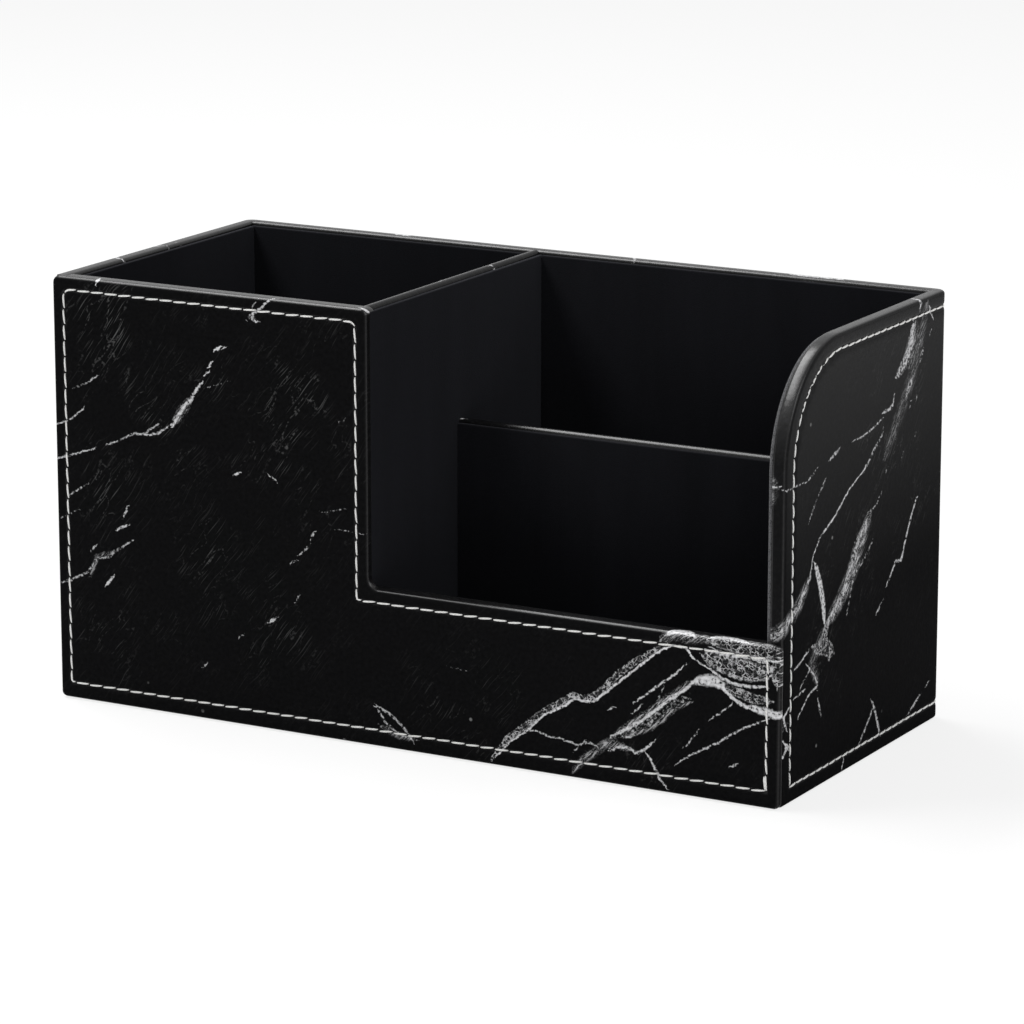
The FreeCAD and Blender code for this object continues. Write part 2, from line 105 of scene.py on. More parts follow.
def node_box(node):
    """Lowest and highest corner of a solid of the frame, in millimetres."""
    low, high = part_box(node)
    return Vector(low) / MM, Vector(high) / MM


FRONT_LOW, FRONT_HIGH = node_box("front_cover")
WRAP_LOW, WRAP_HIGH = node_box("wrap_cover")
CARD_BACK = node_box("front_backing")[1].y
BOARD_BACK = node_box("front_board")[1].y
STEP = node_box("pocket_left_lining")[1].x
LOW_TOP = node_box("front_pocket_front_lining")[1].z + LINING_DROP
WALL_LEFT = node_box("left_board")[1].x
WALL_RIGHT = node_box("right_board")[0].x
WALL_BACK = node_box("back_board")[0].y
TURN_UNDER = 8.0
REAR_ROUND = 3.0
SWEEP = 31.5
SWEEP_Y = WRAP_LOW.y + SWEEP
SWEEP_Z = WRAP_HIGH.z - SWEEP


class Tone:
    """One output in a finish's node tree; sums on tones add Math nodes."""

    def __init__(self, tree, socket=None):
        self.tree = tree
        self.socket = socket

    def node(self, kind, settings=None, sockets=None, out=0):
        """Add a node: its settings first, then the values or links of its sockets."""
        made = self.tree.nodes.new(kind)
        for name, setting in (settings or {}).items():
            setattr(made, name, setting)
        for name, value in (sockets or {}).items():
            if isinstance(value, Tone):
                self.tree.links.new(value.socket, made.inputs[name])
            else:
                made.inputs[name].default_value = value
        return Tone(self.tree, made.outputs[out])

    def math(self, operation, *others):
        return self.node("ShaderNodeMath", {"operation": operation}, dict(enumerate((self, *others))))

    __add__ = __radd__ = functools.partialmethod(math, "ADD")
    __sub__ = functools.partialmethod(math, "SUBTRACT")
    __mul__ = functools.partialmethod(math, "MULTIPLY")
    __truediv__ = functools.partialmethod(math, "DIVIDE")
    max = functools.partialmethod(math, "MAXIMUM")
    abs = functools.partialmethod(math, "ABSOLUTE")
    fraction = functools.partialmethod(math, "FRACT")

    def rise(self, start, end):
        """0 before start and 1 after end, with a soft step between; start may be the larger."""
        limits = {"Value": self, "From Min": start, "From Max": end}
        return self.node("ShaderNodeMapRange", {"interpolation_type": "SMOOTHSTEP"}, limits)

    def blend(self, first, second):
        """A colour between two colours, by this share."""
        return self.node("ShaderNodeMix", {"data_type": "RGBA"}, {0: self, 6: first, 7: second}, 2)


class Finish(Tone):
    """A named material with one Principled surface."""

    def __init__(self, name):
        self.material = bpy.data.materials.new(name)
        self.material.use_nodes = True
        super().__init__(self.material.node_tree)
        self.surface = self.tree.nodes["Principled BSDF"]

    def place(self):
        return self.node("ShaderNodeTexCoord", out="Object")

    def given(self, name, out="Fac"):
        return self.node("ShaderNodeAttribute", {"attribute_name": name}, out=out)

    def noise(self, place, scale, detail=2.0, roughness=0.5):
        sockets = {"Vector": place, "Scale": scale, "Detail": detail, "Roughness": roughness}
        return self.node("ShaderNodeTexNoise", None, sockets)

    def cells(self, place, scale, feature="DISTANCE_TO_EDGE"):
        return self.node("ShaderNodeTexVoronoi", {"feature": feature}, {"Vector": place, "Scale": scale})

    def turned(self, place, angle, sizes):
        """The same place on axes turned in the print's plane, counted in the given sizes."""
        sockets = {"Vector": place, "Rotation": (0, 0, math.radians(angle)), "Scale": sizes}
        return self.node("ShaderNodeMapping", {"vector_type": "TEXTURE"}, sockets)

    def shaken(self, place, scale, reach):
        """The same place, moved a little to and fro."""
        drift = self.node("ShaderNodeTexNoise", None, {"Vector": place, "Scale": scale}, "Color")
        moved = {"Vector": drift, "Scale": reach}
        moved = self.node("ShaderNodeVectorMath", {"operation": "SCALE"}, moved)
        return self.node("ShaderNodeVectorMath", {"operation": "ADD"}, {0: place, 1: moved})

    def bump(self, height, strength, distance):
        sockets = {"Height": height, "Strength": strength, "Distance": distance}
        return self.node("ShaderNodeBump", None, sockets)

    def paint(self, **sockets):
        """Set the surface's sockets; underscores in their names stand for spaces."""
        for name, value in sockets.items():
            target = self.surface.inputs[name.replace("_", " ")]
            if isinstance(value, Tone):
                self.tree.links.new(value.socket, target)
            else:
                target.default_value = value
        return self.material


def grey(level, blue=1.0):
    return (level, level, level * blue, 1.0)


def marbled_leather():
    """Black leather with a printed marble: crackled nets, brushed bands, white lines and scratches."""
    finish = Finish("marbled_leather")
    spot = finish.given("print", "Vector")
    wander = (finish.noise(spot, 650) - 0.5) + (finish.noise(spot, 2400) - 0.5) * 0.7
    bits = finish.noise(spot, 1150, 3.0)
    dust = finish.noise(spot, 2600, 3.0).rise(0.46, 0.66)

    def off_vein(layer):
        side = finish.given(f"{layer}_side") + wander
        return side.abs().max(finish.given(f"{layer}_gap") - 1.0) / finish.given(f"{layer}_half")

    def lines(layer):
        light = finish.given(f"{layer}_light")
        broken = (bits + light * 0.34).rise(0.64, 0.8)
        return off_vein(layer).rise(1.15, 0.5) * broken * light

    line = lines("line_a").max(lines("line_b")).max(lines("line_c"))
    walls = finish.cells(finish.shaken(spot, 800, 0.0018), 820)
    cracks = (walls / (0.02 + finish.noise(spot, 420) * 0.2)).rise(1.0, 0.3)
    off_net = off_vein("net")
    border = off_net.rise(0.6, 0.85) * bits.rise(0.42, 0.6)
    net = cracks * finish.noise(spot, 520, 2.0).rise(0.36, 0.56) + border * 0.5 + dust * 0.1
    net = off_net.rise(1.12, 0.85) * net * finish.given("net_light")
    hairs = finish.noise(finish.turned(spot, 46, (0.003, 0.0006, 1)), 1.0, 3.0).rise(0.48, 0.62)
    brush = off_vein("brush").rise(1.2, 0.2) * (hairs * 0.7 + dust * 0.4) * finish.given("brush_light")
    bent = finish.shaken(spot, 45, 0.005)
    fine = finish.noise(finish.turned(bent, 53, (0.0095, 0.00032, 1)), 1.0, 1.0).rise(0.62, 0.73)
    patchy = finish.noise(spot, 70, 2.0).rise(0.4, 0.62)
    cracked = finish.noise(finish.turned(bent, 50, (0.014, 0.005, 1)), 1.0, 2.0) - 0.5
    cracked = cracked.abs().rise(0.016, 0.004) * bits.rise(0.46, 0.6)
    scratch = (fine + cracked * 0.7) * patchy * finish.given("scratched")
    specks = finish.cells(spot, 95, "F1").rise(0.06, 0.03) * finish.noise(spot, 60).rise(0.5, 0.6)
    rolled = finish.given("rolled")
    # Lighter where the leather shines (its roundings, its upward folds, the upper wrap and the left side of
    # the partition's cap): partly edge wear, partly painted sheen
    wear_and_sheen = rolled * finish.noise(spot, 900, 4.0).rise(0.5, 0.8)
    hide = finish.noise(spot, 900, 4.0).blend(grey(0.0024, 1.06), grey(0.0078, 1.06))
    hide = (wear_and_sheen * 0.5).blend(hide, grey(0.02, 1.1))
    hide = (scratch * 0.8).blend(hide, grey(0.1))
    hide = (specks * 0.5).blend(hide, grey(0.3))
    hide = brush.blend(hide, grey(0.46, 1.02))
    hide = net.blend(hide, grey(0.46, 1.02))
    hide = line.blend(hide, bits.rise(0.3, 0.7).blend(grey(0.4, 1.02), grey(0.66, 1.02)))
    creases = finish.cells(spot, 1000, "SMOOTH_F1") * 0.8 + finish.noise(spot, 1900, 2.0) * 0.5
    return finish.paint(
        Base_Color=hide,
        Roughness=0.3 + finish.noise(spot, 500, 3.0) * 0.14,
        IOR=1.02,
        Coat_Weight=rolled * (0.42 + bits * 0.36),
        Coat_Roughness=0.26,
        Coat_IOR=1.5,
        Normal=finish.bump(creases, 0.25, 0.00015),
    )


def black_flannel():
    """Short-napped flannel: upright brushed streaks, fine fibres, and lighter edges that are partly rubbed
    nap and partly painted highlight.
    """
    finish = Finish("black_flannel")
    place = finish.place()
    upright = finish.node("ShaderNodeMapping", None, {"Vector": place, "Scale": (90, 90, 14)})
    nap = finish.noise(upright, 1.0, 3.0)
    fibres = finish.noise(place, 3600, 2.0)
    tone = (nap * 0.8 + fibres * 0.4).blend((0.0012, 0.0013, 0.0016, 1), (0.0068, 0.007, 0.0088, 1))
    # Lighter card edges: partly rubbed nap, partly a painted highlight where an edge catches the light
    tone = (finish.given("edge") * fibres.rise(0.25, 0.6)).blend(tone, (0.15, 0.15, 0.155, 1))
    return finish.paint(
        Base_Color=tone,
        Roughness=0.9 + nap * 0.1,
        Specular_IOR_Level=0.05,
        Sheen_Weight=0.1,
        Sheen_Roughness=0.45,
        Sheen_Tint=(0.62, 0.64, 0.74, 1),
        Normal=finish.bump(fibres, 0.35, 0.0002),
    )


def white_thread():
    """Waxed white thread, its plies turning round it."""
    finish = Finish("white_thread")
    ridge = (finish.given("ply").fraction() - 0.5).abs() * 2.0
    dirt = finish.noise(finish.place(), 600, 2.0)
    # Darker in the grooves between the plies: painted shade; the dirt is the thread's own
    shade = (0.35 + ridge * 0.4 + dirt * 0.25).blend((0.4, 0.395, 0.385, 1), (0.88, 0.875, 0.86, 1))
    return finish.paint(
        Base_Color=shade,
        Roughness=0.55 + dirt * 0.2,
        Specular_IOR_Level=0.3,
        Normal=finish.bump(ridge, 0.5, 0.0001),
    )


def black_felt():
    """Pressed felt: matted short fibres."""
    finish = Finish("black_felt")
    place = finish.place()
    mat = finish.noise(place, 900, 4.0, 0.7)
    tufts = finish.cells(place, 520, "F1")
    tone = (mat * 0.7 + tufts * 0.5).blend((0.006, 0.006, 0.007, 1), (0.03, 0.03, 0.033, 1))
    return finish.paint(Base_Color=tone, Roughness=0.92 + mat * 0.08, Specular_IOR_Level=0.1,
                        Sheen_Weight=0.1, Normal=finish.bump(mat, 0.6, 0.0004))


def fibreboard():
    """Pressed wood fibre, dark brown with paler flecks."""
    finish = Finish("fibreboard")
    place = finish.place()
    flecks = finish.noise(place, 700, 4.0, 0.7)
    drift = finish.noise(place, 60, 2.0)
    tone = (flecks * 0.8 + drift * 0.3).blend((0.035, 0.024, 0.016, 1), (0.1, 0.075, 0.052, 1))
    return finish.paint(Base_Color=tone, Roughness=0.7 + flecks * 0.2,
                        Normal=finish.bump(flecks, 0.3, 0.0002))


def grey_card():
    """Recycled grey card with dark specks."""
    finish = Finish("grey_card")
    place = finish.place()
    pulp = finish.noise(place, 1100, 4.0, 0.65)
    bits = finish.cells(place, 600, "F1").rise(0.12, 0.06)
    tone = pulp.blend((0.24, 0.23, 0.21, 1), (0.42, 0.41, 0.38, 1))
    tone = (bits * 0.6).blend(tone, (0.08, 0.075, 0.07, 1))
    return finish.paint(Base_Color=tone, Roughness=0.8 + pulp * 0.15, Normal=finish.bump(pulp, 0.2, 0.0001))


LEATHER_FINISH = marbled_leather()
FLANNEL_FINISH = black_flannel()
THREAD_FINISH = white_thread()
FELT_FINISH = black_felt()
BOARD_FINISH = fibreboard()
CARD_FINISH = grey_card()


def placed(name, data):
    """A new object of the scene."""
    item = bpy.data.objects.new(name, data)
    bpy.context.collection.objects.link(item)
    return item


def meshed(name, shape, finish):
    mesh = bpy.data.meshes.new(name)
    shape.to_mesh(mesh)
    shape.free()
    mesh.materials.append(finish)
    return mesh


def finished(name, shape, finish, slot, *nodes):
    """Make a piece of a shape drawn in millimetres, in place of the named solids."""
    bmesh.ops.scale(shape, vec=(MM, MM, MM), verts=shape.verts)
    mesh = meshed(name, shape, finish)
    mesh.shade_smooth()
    mesh.set_sharp_from_angle(angle=math.radians(42))
    piece = placed(name, mesh)
    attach(piece, "root")
    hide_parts(*nodes)
    return piece


def new_points(made):
    return [item for item in made["geom"] if isinstance(item, bmesh.types.BMVert)]


def drawn_out(shape, edges):
    """Extrude edges where they are; gives the new points."""
    return new_points(bmesh.ops.extrude_edge_only(shape, edges=edges))


def welded(shape, verts):
    bmesh.ops.remove_doubles(shape, verts=verts, dist=WELD)


def rounded(shape, geometry, radius, segments, affect="EDGES"):
    bmesh.ops.bevel(shape, geom=geometry, offset=radius, offset_type="OFFSET", segments=segments,
                    profile=0.5, affect=affect, material=-1, clamp_overlap=False)


def sliced(shape, axis, places):
    """Cut the whole shape across an axis, so that its faces are small enough to carry a print."""
    normal = Vector((0, 0, 0))
    normal[axis] = 1
    for place in places:
        geometry = shape.verts[:] + shape.edges[:] + shape.faces[:]
        bmesh.ops.bisect_plane(shape, geom=geometry, plane_co=normal * place, plane_no=normal, dist=1e-3)


def rows(low, high, spacing, seams=()):
    """Places for cuts: even ones, and closer ones beside each seam."""
    count = max(1, round((high - low) / spacing))
    even = [low + (high - low) * index / count for index in range(count + 1)]
    close = [seam + offset for seam in seams for offset in SEAM_CUTS]
    free = [place for place in even if all(abs(place - other) > CUT_ROOM for other in close)]
    return sorted(free + close)


def faced_outward(shape, direction):
    """Turn all normals the same way, with the face furthest in the direction looking out."""
    bmesh.ops.recalc_face_normals(shape, faces=shape.faces)
    furthest = max(shape.faces, key=lambda face: face.calc_center_median().dot(direction))
    if furthest.normal.dot(direction) < 0:
        bmesh.ops.reverse_faces(shape, faces=shape.faces)
    shape.normal_update()


def boundary(shape, wanted):
    return [edge for edge in shape.edges
            if edge.is_boundary and all(wanted(vert.co) for vert in edge.verts)]


def near(value, target):
    return abs(value - target) < CLOSE


# Seams, as holes in the print's own two coordinates
FRONT_SEAM = 3.6
SIDE_SEAM = 4.2
SIDE_SETBACK = 5.2
SEAM_FOOT = 4.8
FRONT_PITCH = 4.4
SIDE_PITCH = 3.9
SHARP_TURN = 0.7
SOFT_TURN = 2.2
REAR_TURN = 1.2
TURN_POINTS = 7
SWEEP_STEPS = 24
WAY_REACH = 0.15
SIDE_RUN = WRAP_HIGH.y - REAR_ROUND - WRAP_LOW.y
BEND = REAR_ROUND * math.pi / 2
BACK_RUN = WRAP_HIGH.x - WRAP_LOW.x - 2 * REAR_ROUND
WRAP_RUN = 2 * SIDE_RUN + 2 * BEND + BACK_RUN


class Seam:
    """A row of stitches along a path, its corners turned softly and its first stitches tacked over."""

    def __init__(self, corners, pitch, tacked=0):
        self.tacked = tacked
        points = []
        for index, (x, z, turn) in enumerate(corners):
            corner = np.array((x, z), float)
            if not turn:
                points.append(corner)
                continue
            before = np.array(corners[index - 1][:2], float) - corner
            after = np.array(corners[(index + 1) % len(corners)][:2], float) - corner
            start, end = (corner + way / np.hypot(*way) * turn for way in (before, after))
            for share in np.linspace(0, 1, TURN_POINTS):
                rest = 1 - share
                points.append(start * rest ** 2 + corner * 2 * share * rest + end * share ** 2)
        self.points = np.array(points)
        self.reached = np.concatenate(([0.0], np.cumsum(np.hypot(*np.diff(self.points, axis=0).T))))
        count = round(self.reached[-1] / pitch)
        self.holes = [self.reached[-1] * index / count for index in range(count + 1)]

    def at(self, length):
        return Vector([np.interp(length, self.reached, column) for column in self.points.T])

    def way(self, length):
        return (self.at(length + WAY_REACH) - self.at(length - WAY_REACH)).normalized()


def front_seams():
    left, right = FRONT_LOW.x + FRONT_SEAM, FRONT_HIGH.x - FRONT_SEAM
    turn, low, tall = STEP - FRONT_SEAM, LOW_TOP - FRONT_SEAM, FRONT_HIGH.z - FRONT_SEAM
    corners = [(right, SEAM_FOOT, 0), (right, low, SHARP_TURN), (turn, low, SHARP_TURN),
               (turn, tall, SOFT_TURN), (left, tall, SOFT_TURN), (left, SEAM_FOOT, SHARP_TURN),
               (right, SEAM_FOOT, 0)]
    return [Seam(corners, FRONT_PITCH, 1)]


def wrap_seams():
    top = WRAP_HIGH.z - SIDE_SEAM
    bow = SWEEP - SIDE_SEAM
    far = WRAP_RUN - SIDE_SETBACK
    angles = [math.pi / 2 * index / SWEEP_STEPS for index in range(SWEEP_STEPS + 1)]
    middle = (SIDE_SETBACK + bow, top - bow)
    sweep = [(middle[0] - math.cos(angle) * bow, middle[1] + math.sin(angle) * bow, 0)
             for angle in angles]
    corners = [(SIDE_SETBACK, SEAM_FOOT, 0)] + sweep + [(far, top, REAR_TURN), (far, SEAM_FOOT, 0)]
    foot = [(SIDE_SETBACK, SEAM_FOOT, 0), (far, SEAM_FOOT, 0)]
    return [Seam(corners, SIDE_PITCH), Seam(foot, SIDE_PITCH)]


def run_fields(spots, start, end):
    """Distance of each spot from a straight run, its signed form, and the share along the run."""
    start, run = np.array(start, float), np.array(end, float) - np.array(start, float)
    offset = spots - start
    share = np.clip(offset @ run / (run @ run), 0, 1)
    miss = offset - share[:, None] * run
    gap = np.hypot(miss[:, 0], miss[:, 1])
    side = np.where(run[0] * offset[:, 1] - run[1] * offset[:, 0] < 0, -gap, gap)
    return gap, side, share


def seam_sink(spots, seams):
    """How far the thread draws the leather in at each spot, deepest at the needle holes."""
    nearest = np.full(len(spots), FAR)
    pricked = np.full(len(spots), FAR)
    for seam in seams:
        for start, end in zip(seam.points, seam.points[1:]):
            nearest = np.minimum(nearest, run_fields(spots, start, end)[0])
        for hole in seam.holes:
            pricked = np.minimum(pricked, np.hypot(*(spots - np.array(seam.at(hole))).T))
    drawn_in = SEAM_DEPTH * np.exp(-(nearest / SEAM_SPREAD) ** 2)
    return drawn_in + PRICK_DEPTH * np.exp(-(pricked / PRICK_SPREAD) ** 2)


def vein_fields(spots, veins):
    """For each spot: signed and plain distance from the nearest vein, its half width and its lightness."""
    best = np.full(len(spots), np.inf)
    fields = np.zeros((4, len(spots)))
    fields[1] = FAR
    fields[2] = 1.0
    for half, light, points in veins:
        path = np.array(points, float)
        lengths = np.hypot(*np.diff(path, axis=0).T)
        before = np.concatenate(([0.0], np.cumsum(lengths)))
        for index, length in enumerate(lengths):
            gap, side, share = run_fields(spots, path[index], path[index + 1])
            along = (before[index] + share * length) / before[-1]
            width = half * (0.5 + 0.5 * np.sin(np.pi * along) ** 0.5)
            closer = gap - width < best
            best = np.where(closer, gap - width, best)
            row = np.array([side, gap, width, np.full(len(spots), light)])
            fields = np.where(closer, row, fields)
    return fields


def shared_out(veins, count):
    """Share veins out among layers, so that neighbours in one layer lie well apart."""
    layers = [[] for index in range(count)]
    for vein in veins:
        path = np.array(vein[2], float)

        def room(layer):
            gaps = [FAR]
            for other in layer:
                far_path = np.array(other[2], float)
                gaps += [run_fields(path, *run)[0].min() for run in zip(far_path, far_path[1:])]
                gaps += [run_fields(far_path, *run)[0].min() for run in zip(path, path[1:])]
            return min(gaps)

        max(layers, key=room).append(vein)
    return layers


def printed(piece, spots, rolled, patches, lines, nets=(), brushes=()):
    """Store the print's own coordinates and its veins on the piece's points."""
    place = piece.data.attributes.new("print", "FLOAT_VECTOR", "POINT")
    flat = np.column_stack((spots * MM, np.zeros(len(spots))))
    place.data.foreach_set("vector", flat.astype(np.float32).ravel())
    line_layers = ("line_a", "line_b", "line_c")
    layers = dict(zip(line_layers, shared_out(lines, len(line_layers))), net=nets, brush=brushes)
    rows_of = {"rolled": rolled, "scratched": scratched(spots, patches)}
    for layer, veins in layers.items():
        fields = vein_fields(spots, veins)
        names = (f"{layer}_{field}" for field in ("side", "gap", "half", "light"))
        rows_of.update(zip(names, fields))
    for name, row in rows_of.items():
        stored(piece, name, row)


def stored(piece, name, row):
    """Keep one number per point on a piece, for its finish to read."""
    piece.data.attributes.new(name, "FLOAT", "POINT").data.foreach_set("value", np.float32(row))


def vertex_rows(piece, name):
    flat = np.zeros(len(piece.data.vertices) * 3)
    piece.data.vertices.foreach_get(name, flat)
    return flat.reshape(-1, 3)


def points_of(piece):
    return vertex_rows(piece, "co") / MM


def normals_of(piece):
    return vertex_rows(piece, "normal")


def polish(piece, depth):
    """Where the leather shines: its roundings and the folds that look upward, not its flat faces."""
    facing = normals_of(piece)
    turned = np.clip((1 - np.abs(facing).max(axis=1)) / 0.12, 0, 1)
    upward = np.clip(facing[:, 2] * 1.6, 0, 1)
    return np.clip((depth - 0.15) / 0.4, 0, 1) * np.maximum(np.maximum(turned, upward), 0.1)


def scratched(spots, patches):
    """How closely the leather is scratched at each spot: the sum of some soft round patches."""
    total = np.full(len(spots), 0.06)
    for x, z, reach, level in patches:
        total += level * np.exp(-((spots - (x, z)) ** 2).sum(axis=1) / reach ** 2)
    return np.clip(total, 0, 1)


# Veins of the print: half width, lightness and the points they pass, as (x, z) on the front
FRONT_LINES = [
    (1.7, 1.0, [(78.5, 43.2), (80, 44.8), (82.5, 45.2), (84.8, 43.8)]),
    (1.3, 1.0, [(90.5, 44), (92.5, 45.2), (97, 45), (100, 44)]),
    (0.36, 1.0, [(28.5, 3.5), (32, 7.5), (37.5, 11.5), (42.5, 16.5), (47.5, 19), (51.5, 22), (54, 21.5),
                 (57, 22), (60.5, 25), (67.5, 31), (74.5, 37), (77.5, 39), (80.5, 40), (83.5, 39.5),
                 (86, 37), (90.5, 35)]),
    (0.5, 1.0, [(88.5, 40), (94.5, 39.5), (100.5, 39.5), (109.5, 39.5)]),
    (0.45, 0.9, [(90.5, 35), (94, 33), (98, 32), (102, 32), (106, 32.5)]),
    (1.7, 1.0, [(86.5, 31.3), (89, 32), (91.5, 32.2), (94, 31)]),
    (0.55, 1.0, [(92.5, 32), (94.5, 30), (97.5, 28), (100.5, 26.5), (105.5, 26.5)]),
    (1.2, 1.0, [(102, 26.6), (107.5, 25.6), (113, 25.2)]),
    (0.55, 0.95, [(86.5, 31.5), (83, 28.5), (79.5, 26), (76, 23), (70, 18), (66.5, 16), (62.5, 13.5)]),
    (0.3, 0.8, [(37.5, 11.5), (40.5, 11.5), (44, 10.5), (47, 10.5), (49, 10), (52, 9.5), (55, 10.5)]),
    (0.4, 0.85, [(62, 9.5), (64, 10.5), (67, 11), (69.5, 9.5), (74.5, 13.5)]),
    (0.35, 0.8, [(65, 13.5), (68, 14)]),
    (0.34, 0.9, [(83, 35), (80, 32), (76.5, 29.5), (73.5, 27), (69, 23.5)]),
    (0.3, 0.8, [(70.5, 22.5), (68.5, 20.5)]), (0.28, 0.6, [(77, 28.5), (75.5, 25)]),
    (0.42, 0.9, [(72.5, 10), (74.5, 7), (76, 4), (78, 2)]),
    (0.28, 0.8, [(106.5, 24), (100.5, 21), (97, 19), (93, 16), (88.5, 13.5), (85, 11.5), (81, 8.5)]),
    (0.26, 0.75, [(96.5, 26.5), (93.5, 24), (90.5, 22)]), (0.26, 0.7, [(87, 18), (83.5, 13.5)]),
    (0.3, 0.7, [(51.5, 8), (54.5, 11), (57.5, 10)]), (0.45, 0.8, [(61.5, 20.8), (62.4, 21.2)]),
    (0.4, 0.7, [(97, 10.2), (98, 10.8)]), (0.28, 0.76, [(-110, 67.5), (-102.5, 70), (-97, 72)]),
    (0.34, 0.76, [(-92.5, 73.5), (-88, 75.5), (-84, 77.5), (-80, 77.5), (-76, 78.5), (-71, 82)]),
    (0.6, 0.9, [(-71.5, 81), (-68.5, 86), (-66, 88.5), (-62.5, 93.5)]),
    (0.28, 0.7, [(-80.5, 78), (-76, 81)]), (0.5, 0.9, [(-60.8, 96.2), (-60.3, 96.8)]),
    (0.55, 0.95, [(-59.7, 98.7), (-59.2, 99.3)]), (0.6, 1.0, [(-57.5, 103.2), (-56.5, 103.8)]),
    (0.4, 0.8, [(-55.3, 103.9), (-54.7, 104.2)]), (0.2, 0.4, [(-61, 92.5), (-53.5, 95)]),
    (0.28, 0.76, [(-110, 77), (-105, 79), (-100.5, 82.5)]), (0.22, 0.45, [(-103.5, 88), (-98, 90.5)]),
    (0.36, 0.72, [(-98, 90.8), (-96, 92)]),
    (0.4, 0.86, [(-39.5, 120), (-42.5, 116.5), (-44.5, 115), (-47, 113), (-44.5, 112)]),
    (0.3, 0.6, [(-44.5, 118), (-46, 116)]), (0.6, 1.0, [(-95.5, 120.5), (-95.3, 118)]),
    # The white mark over the tall part's top right corner fold, from (-13, 119.8), is partly print and
    # partly a painted highlight of the fold
    (0.8, 1.0, [(-13, 119.8), (-10.5, 119), (-9.5, 115.5)]), (0.45, 0.9, [(-52, 69.8), (-51, 70.3)]),
    (0.4, 0.75, [(-41, 70.6), (-39.5, 69.5)]), (0.35, 0.5, [(-19, 87.8), (-18, 88.3)]),
    (0.38, 0.66, [(-110, 32.5), (-105.5, 34), (-100, 37), (-97, 41)]),
    (0.38, 0.62, [(-97, 41), (-93, 42), (-90, 44.5), (-85.5, 47.5)]),
    (0.5, 0.8, [(-90, 50.2), (-87, 51.6)]), (0.35, 0.8, [(-88, 54), (-86.8, 56.5)]),
    (0.5, 0.85, [(-94, 34), (-92, 36.5)]), (0.4, 0.7, [(-98.5, 43.5), (-97.5, 44.5)]),
    (0.26, 0.62, [(-105.5, 58), (-100, 61.5)]), (0.22, 0.45, [(-109, 51), (-103, 54)]),
    (0.35, 0.7, [(-62.8, 15.2), (-62, 15.8)]), (0.4, 0.85, [(-41.5, 30.4), (-39.8, 31.6)]),
    (0.34, 0.64, [(-32, 50), (-29, 53)]), (0.4, 0.75, [(-28.4, 55.3), (-27.6, 56.6)]),
    (0.35, 0.6, [(-34.5, 47.6), (-33.4, 48.4)]), (0.35, 0.55, [(-33.3, 37.4), (-32.6, 38.6)]),
    (0.3, 0.5, [(-51.5, 24.5), (-50.5, 25.5)]), (0.2, 0.5, [(-25, 62.5), (-17, 64.5)]),
    (0.2, 0.5, [(-20.5, 58.5), (-12, 58)]),
    (0.42, 0.74, [(-8.5, 11.5), (-4.5, 10), (-0.5, 7), (2.5, 3.5)]),
    (0.36, 0.7, [(-8.5, 11.5), (-6, 7.5), (-1.5, 4.5), (1, 4.2)]), (0.2, 0.4, [(13, 25.5), (19, 25)]),
]
FRONT_NETS = [
    (0.95, 0.9, [(27, 2.5), (31.5, 8.5), (37, 12.8), (43, 17.8), (47.5, 20.4), (51, 22.7),
                 (53.5, 22.2), (56.5, 22.8), (60, 26), (63.5, 29.8), (69.5, 34.7), (77, 39.4)]),
    (1.9, 0.85, [(91, 42.5), (98, 42), (104, 41.6), (110, 41.6)]),
    (2.7, 1.0, [(89.5, 38.2), (93.5, 37), (98, 36.2), (102, 36), (107, 36)]),
    (1.3, 0.8, [(95, 30.6), (98.5, 30), (102, 29), (107, 28.8)]),
    (1.3, 0.9, [(109, 40), (109.3, 36), (109.3, 33.5)]),
]
FRONT_BRUSHES = [
    (2.2, 1.0, [(77, 41.5), (80, 43.5), (84, 43), (90, 43.5)]),
    (1.6, 0.9, [(98, 44.5), (104, 44), (109, 43.5)]), (1.2, 0.9, [(84, 43), (88, 43), (92, 42)]),
    (1.2, 1.0, [(88.5, 32.5), (84, 30), (79.5, 26.5), (74, 22), (68, 17.5), (63, 14)]),
    (0.9, 0.9, [(84.5, 25.4), (80, 23), (77, 20), (73, 17), (66, 13.5)]),
    (1.3, 0.95, [(63, 13), (57, 8.3), (53.5, 5.5), (51, 2.5)]),
    (1.0, 0.9, [(61, 10.5), (64, 11), (68, 10.5)]), (1.5, 1.1, [(-71, 82), (-68.5, 85.5), (-66, 88.5)]),
    (0.9, 0.6, [(-99, 36.5), (-97, 41.5), (-92, 43.5)]), (1.2, 0.6, [(-7, 6), (-2, 4.4), (3, 4)]),
]
# Scratched patches: place, reach and closeness
FRONT_SCRATCHES = [
    (-96, 107, 10, 0.9), (-84, 111, 12, 0.9), (-88, 84, 11, 0.8), (-72, 74, 9, 0.5), (-28, 98, 12, 0.9),
    (-36, 78, 13, 0.9), (-22, 68, 10, 0.6), (-96, 58, 12, 0.7), (-62, 46, 16, 0.5), (-92, 22, 14, 0.4),
    (-40, 30, 14, 0.5), (16, 14, 13, 0.7), (70, 6, 9, 0.4), (-60, 100, 10, 0.4),
]
WRAP_SCRATCHES = [
    (70, 98, 16, 0.5), (58, 84, 12, 0.6), (40, 55, 14, 0.5), (24, 36, 12, 0.5), (78, 60, 12, 0.4),
    (130, 60, 22, 0.6), (200, 80, 26, 0.7), (260, 40, 24, 0.6), (345, 90, 22, 0.6), (390, 40, 18, 0.6),
]
